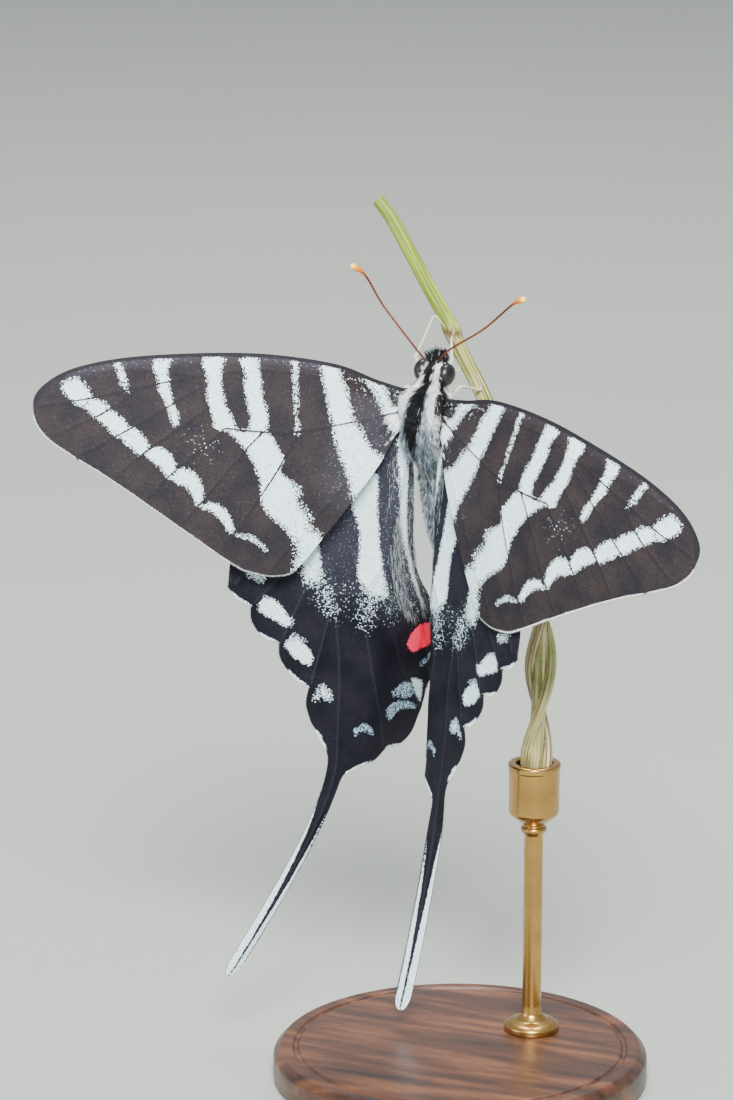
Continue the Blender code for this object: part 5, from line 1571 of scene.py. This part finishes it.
def stem_line(count=200):
    """Points at even distances down the vine's middle."""
    return even_line(STEM_ROUTE, count)


def stem_radius(t):
    """The vine's radius at a share of its length; it thickens over its first third."""
    return STEM_RADII[0] + (STEM_RADII[1] - STEM_RADII[0]) * np.minimum(1.0, 3 * t)


def round_the_stem(share, reach, angle):
    """A point `reach` off the vine's centre line; the angle starts at its right and turns to the body."""
    line = stem_line()
    spot = share * (len(line) - 1)
    i = min(int(spot), len(line) - 2)
    along = unit(line[i + 1] - line[i])
    up = unit(np.array([0, 0, 1.0]) - along * along[2])
    right = np.cross(up, along)
    if right[0] < 0:
        right = -right
    return line[i] + (line[i + 1] - line[i]) * (spot - i) + reach * (right * cos(angle) + up * sin(angle))


def share_at_height(y):
    """How far down the vine a height in the butterfly's frame lies."""
    line = stem_line()
    return float(np.argmin(np.abs(line[:, 1] - y))) / (len(line) - 1)


def strand_route(phase):
    """One of the two strands that twine round the vine's lower half, with its radii."""
    line = []
    radii = []
    for t in np.linspace(0, 1, 130):
        share = STRAND_START + (1 - STRAND_START) * t
        reach = (stem_radius(share) + 0.55 * STRAND_RADIUS) * min(1.0, 0.25 + 3 * t)
        line.append(round_the_stem(share, reach, phase + 2 * pi * STRAND_TURNS * t))
        radii.append(STRAND_RADIUS * min(1.0, 0.6 + 2 * t))
    return np.array(line), np.array(radii)


def keep_bark(mesh, routes):
    """Store each vertex's place along and round its strand, the bark's age and where it is cut."""
    places = places_of(mesh)
    best = np.full(len(places), 1e9)
    wound = np.zeros((len(places), 3))
    cut = np.zeros(len(places))
    for number, (line, radii) in enumerate(routes):
        reach = np.concatenate([[0], np.cumsum(np.linalg.norm(np.diff(line, axis=0), axis=1))])
        frames = tube_frames(line)[1]
        apart = ((places[:, None] - line[None]) ** 2).sum(-1)
        nearest = np.argmin(apart, axis=1)
        off = np.sqrt(apart[np.arange(len(places)), nearest])
        surplus = np.abs(off / radii[nearest] - 1)
        closer = surplus < best
        away = places - line[nearest]
        first = (away * frames[nearest, 0]).sum(-1)
        second = (away * frames[nearest, 1]).sum(-1)
        row = np.column_stack([reach[nearest] + 40 * number, first, second])
        wound[closer] = row[closer]
        at_end = np.minimum(nearest, len(line) - 1 - nearest) == 0
        cut = np.where(closer, (at_end & (off < 0.85 * radii[nearest])) * 1.0, cut)
        best = np.minimum(best, surplus)
    keep(mesh, "wound", wound)
    keep(mesh, "cut", cut)
    past = places[:, 1] - NODE_HEIGHT
    keep(mesh, "joint", 1.0 * np.exp(-((past / 0.5) ** 2)) + 0.5 * (past < 0) * np.exp(past / 3.0))
    age = np.interp(-places[:, 1], (-20, -8, -6, 0, 20, 45), (-0.05, 0.0, 0.4, 0.35, 0.55, 0.6))
    keep(mesh, "age", age + 0.22 * (wound[:, 0] > 80) - 0.1 * ((wound[:, 0] > 40) & (wound[:, 0] < 80)))


def make_vine(bark, coat):
    """The vine with its joint, the strands twined round it, and fine down on all three."""
    line = stem_line(260)
    shares = np.linspace(0, 1, 260)
    joint = share_at_height(NODE_HEIGHT)
    past = shares - joint
    swell = 1 + 0.28 * np.exp(-((past / 0.012) ** 2)) - 0.06 * np.exp(-((past / 0.004) ** 2))
    radii = stem_radius(shares) * swell
    top_cut = line[0] - 0.06 * unit(line[1] - line[0])
    low_cut = line[-1] + 0.06 * unit(line[-1] - line[-2])
    ends = np.vstack([top_cut, line, low_cut])
    end_radii = np.concatenate([[0.78 * radii[0]], radii, [0.78 * radii[-1]]])
    bm = bmesh.new()
    add_tube(bm, ends, end_radii, 48, 0.045, 9)
    strands = [strand_route(0.4), strand_route(0.4 + pi)]
    for strand, thick in strands:
        add_tube(bm, strand, thick, 36, 0.07, 6)
    mesh = mesh_from_bmesh("twining_vine", bm, 60)
    keep_bark(mesh, [(ends, end_radii), *strands])
    new_piece(mesh.name, mesh, bark, ("perch_stem",))
    for number, (strand, thick) in enumerate([(line, radii), *strands]):
        span = (0.3, 0.98) if number == 0 else (0.05, 0.98)
        down = tube_hairs(strand, thick, VINE_HAIRS, 91 + number, 0.26, 1.6, (0.8, 0.0), span)
        down["widths"] = 0.55 * down["widths"]
        tufts(f"vine_down_{number + 1}", down, coat, levels=2)


# Legs


def bent(before, corner, after, radius, steps):
    """Points on the arc that rounds a corner off."""
    before, corner, after = (Vector(point) for point in (before, corner, after))
    back = (before - corner).normalized()
    ahead = (after - corner).normalized()
    half = back.angle(ahead) / 2
    centre = corner + (back + ahead).normalized() * radius / sin(half)
    start = (corner + back * radius / tan(half) - centre).normalized()
    end = (corner + ahead * radius / tan(half) - centre).normalized()
    return [np.array(centre + radius * start.slerp(end, i / steps)) for i in range(steps + 1)]


def leg_route(pair, side):
    """A leg's line from hip to toe, its radii, and where its shin ends."""
    hip = np.array(LEG_HIPS[pair]) * (side, 1, 1)
    knee = np.array(LEG_KNEES[pair, side])
    (ankle_y, ankle_angle), (toe_y, toe_angle) = FOOT_PLACES[pair, side]
    foot = []
    for t in np.linspace(0, 1, 17):
        share = share_at_height(ankle_y) * (1 - t) + share_at_height(toe_y) * t
        angle = radians(ankle_angle + (toe_angle - ankle_angle) * t)
        foot.append(round_the_stem(share, stem_radius(share) + 0.9 * FOOT_RADIUS, angle))
    bend = bent(hip, knee, foot[0], KNEE_BEND, 8)
    ankle = bent(knee, foot[0], foot[4], ANKLE_BEND, 8)
    thigh = [hip + (bend[0] - hip) * t for t in np.linspace(0, 0.96, 24)]
    shin = [bend[-1] + (ankle[0] - bend[-1]) * t for t in np.linspace(0.04, 0.96, 24)]
    reach = np.linalg.norm(np.array(ankle[-1]) - foot[0])
    left = [point for point in foot if np.linalg.norm(point - foot[0]) > reach + 0.05]
    line = np.array([*thigh, *bend, *shin, *ankle, *left])
    thick = [THIGH_RADIUS * (0.8 + 0.2 * sin(pi * t)) for t in np.linspace(0, 0.85, 24)]
    thick += list(np.linspace(0.85 * THIGH_RADIUS, KNEE_RADIUS, 9))
    thick += [KNEE_RADIUS * 0.85 + 0.1 * KNEE_RADIUS * sin(pi * t) for t in np.linspace(0, 1, 24)]
    thick += [SHIN_RADIUS] * 9
    joints = np.arange(len(left))
    thick += list(FOOT_RADIUS * (1.1 - 0.22 * ((joints % 3) == 2)) * np.linspace(1.1, 0.8, len(left)))
    return line, np.array(thick), ankle[0], left


def make_legs(scales, coat):
    """Six legs, each with two claws, two spurs and short hair."""
    for side, name in ((-1, "left"), (1, "right")):
        for pair in ("fore", "mid", "hind"):
            line, radii, ankle, foot = leg_route(pair, side)
            bm = bmesh.new()
            add_tube(bm, line, radii, 14)
            run = unit(foot[-1] - foot[-2])
            across = unit(np.cross(run, [0.0, 0.0, 1.0]))
            under = np.cross(across, run)
            for way in (-1, 1):
                claw = even_line((foot[-1] - 0.05 * run, foot[-1] + 0.16 * run + 0.1 * way * across,
                                  foot[-1] + 0.22 * run + 0.14 * way * across - 0.12 * under), 10)
                add_tube(bm, claw, np.linspace(0.05, 0.015, 10), 8)
                spur_run = unit(foot[0] - ankle)
                spur = even_line((ankle, ankle + 0.35 * unit(spur_run + 0.35 * way * across)), 8)
                add_tube(bm, spur, np.linspace(0.06, 0.015, 8), 8)
            mesh = mesh_from_bmesh(f"scaled_leg_{pair}_{name}", bm, 70)
            keep_run(mesh, line)
            new_piece(mesh.name, mesh, scales, (f"leg_{pair}_{name}",))
            seed = 101 + 10 * side + len(pair)
            hairs = tube_hairs(line, radii, LEG_HAIRS, seed, 0.24, 0.4, (0.5, 0.0), (0.0, 0.45))
            hairs["widths"] = 0.7 * hairs["widths"]
            tufts(f"leg_hair_{pair}_{name}", hairs, coat, levels=2)


# Stand


def rounded_profile(points, reach=0.25, steps=4):
    """A profile whose inner corners are rounded off a little."""
    made = [points[0]]
    for before, corner, after in zip(points, points[1:], points[2:]):
        before, corner, after = (np.array(point, float) for point in (before, corner, after))
        room = min(reach, 0.45 * np.linalg.norm(before - corner), 0.45 * np.linalg.norm(after - corner))
        start = corner + room * unit(before - corner)
        end = corner + room * unit(after - corner)
        for t in np.linspace(0, 1, steps + 1):
            made.append(tuple((1 - t) ** 2 * start + 2 * t * (1 - t) * corner + t * t * end))
    return [*made, points[-1]]


def make_stand(wood, brass):
    """A turned disc with a grooved rim, and a brass rod whose foot and cup are turned from one bar."""
    top = BASE_HEIGHT
    bm = bmesh.new()
    lathe(bm, rounded_profile((
        (0, 0), (BASE_RADIUS - 0.4, 0), (BASE_RADIUS, 0.5), (BASE_RADIUS, top - 0.95),
        (BASE_RADIUS - 0.9, top), (BASE_RADIUS - 2.2, top), (BASE_RADIUS - 2.4, top - 0.3),
        (BASE_RADIUS - 2.8, top - 0.3), (BASE_RADIUS - 3.0, top), (0, top),
    )), 128)
    mesh = mesh_from_bmesh("turned_base", bm, 50, place=False)
    new_piece(mesh.name, mesh, wood, ("stand_base",))

    end = frame_matrix() @ (Vector(STEM_ROUTE[-1]) * MM) / MM
    bore = STEM_RADII[1] + 1.55 * STRAND_RADIUS + GAP
    outer = bore + CUP_WALL
    cup_floor = end.z - GAP - 0.3
    cup_top = cup_floor + CUP_DEPTH
    bm = bmesh.new()
    lathe(bm, rounded_profile((
        (0, top), (ROD_FOOT_RADIUS, top), (ROD_FOOT_RADIUS, top + 0.75), (ROD_FOOT_RADIUS - 0.5, top + 1.1),
        (ROD_RADIUS + 0.7, top + 1.35), (ROD_RADIUS + 0.15, top + 2.0), (ROD_RADIUS, top + 3.0),
        (ROD_RADIUS, cup_floor - 3.6), (ROD_RADIUS + 0.4, cup_floor - 3.2),
        (ROD_RADIUS + 0.4, cup_floor - 2.8), (ROD_RADIUS, cup_floor - 2.5),
        (outer - 0.3, cup_floor - 1.3), (outer, cup_floor - 0.9),
        (outer, cup_top - 0.9), (outer + 0.12, cup_top - 0.75), (outer + 0.12, cup_top - 0.15),
        (outer - 0.1, cup_top), (bore + 0.1, cup_top), (bore, cup_top - 0.15), (bore, cup_floor),
        (0, cup_floor),
    ), 0.2), 72)
    bmesh.ops.translate(bm, vec=(end.x, end.y, 0), verts=bm.verts)
    mesh = mesh_from_bmesh("turned_rod", bm, 50, place=False)
    new_piece(mesh.name, mesh, brass, ("stand_rod",))


# Studio and camera


def make_light():
    """A pale floor under soft, even light from above, with a broad key from the upper right."""
    bm = bmesh.new()
    bmesh.ops.create_grid(bm, x_segments=2, y_segments=2, size=3.0)
    mesh = bpy.data.meshes.new("floor")
    bm.to_mesh(mesh)
    bm.free()
    mesh.materials.append(pale_floor())
    floor = bpy.data.objects.new("floor", mesh)
    bpy.context.scene.collection.objects.link(floor)
    world = bpy.data.worlds.new("soft_room")
    world.use_nodes = True
    world.node_tree.nodes["Background"].inputs["Color"].default_value = colour("#f2f5fa")
    world.node_tree.nodes["Background"].inputs["Strength"].default_value = 0.62
    bpy.context.scene.world = world
    for name, place, size, energy, code in (
        ("key", (0.33, -0.8, 0.75), 0.4, 38.0, "#fffaf4"),
        ("fill", (-0.7, -0.65, 0.3), 0.6, 3.5, "#eef4ff"),
        ("top", (-0.1, 0.25, 0.9), 0.5, 10.0, "#ffffff"),
    ):
        light = bpy.data.lights.new(name, "AREA")
        light.shape = "DISK"
        light.size = size
        light.energy = energy
        light.color = colour(code)[:3]
        lamp = bpy.data.objects.new(name, light)
        lamp.location = place
        lamp.rotation_euler = (Vector((0, 0, 0.07)) - Vector(place)).to_track_quat("-Z", "Y").to_euler()
        bpy.context.scene.collection.objects.link(lamp)


def make_camera():
    """The photograph's viewpoint, turned a little so that its picture's middle needs no shift."""
    turn = Matrix.Rotation(VIEW_ROLL, 3, "Z") @ Matrix.Rotation(VIEW_PITCH, 3, "X")
    turn = turn @ Matrix.Rotation(-VIEW_TURN, 3, "Y")
    to_view = turn.transposed()
    model = frame_matrix().to_3x3()
    right, up, back = (model @ to_view.col[k] for k in range(3))
    off_x = (PICTURE_SIZE[0] / 2 - FRAME_PIXEL[0]) * PICTURE_SCALE
    off_y = (FRAME_PIXEL[1] - PICTURE_SIZE[1] / 2) * PICTURE_SCALE
    eye = Vector(FRAME_PLACE) + VIEW_DISTANCE * back
    aim = (off_x * right + off_y * up - VIEW_DISTANCE * back).normalized()
    across = aim.cross(up).normalized()
    over = across.cross(aim)
    data = bpy.data.cameras.new("photo_view")
    data.sensor_width = SENSOR
    data.lens = SENSOR * VIEW_DISTANCE / (PICTURE_SIZE[1] * PICTURE_SCALE)
    data.clip_start = 0.01
    data.clip_end = 20.0
    camera = bpy.data.objects.new("photo_view", data)
    bpy.context.scene.collection.objects.link(camera)
    turned = Matrix((across, over, -aim)).transposed()
    camera.matrix_world = Matrix.Translation(eye * MM) @ turned.to_4x4()
    bpy.context.scene.camera = camera


SKIN_LINE = even_stations()

pile = pile_coat()
make_skin(pile)
make_coat(pile)
make_wings(pile)
make_eyes(eye_lens())
horn = antenna_horn()
make_antennae(horn)
make_tongue(horn)
make_vine(vine_bark(), pile)
make_legs(leg_scales(), pile)
make_stand(turned_walnut(), turned_brass())
make_light()
make_camera()
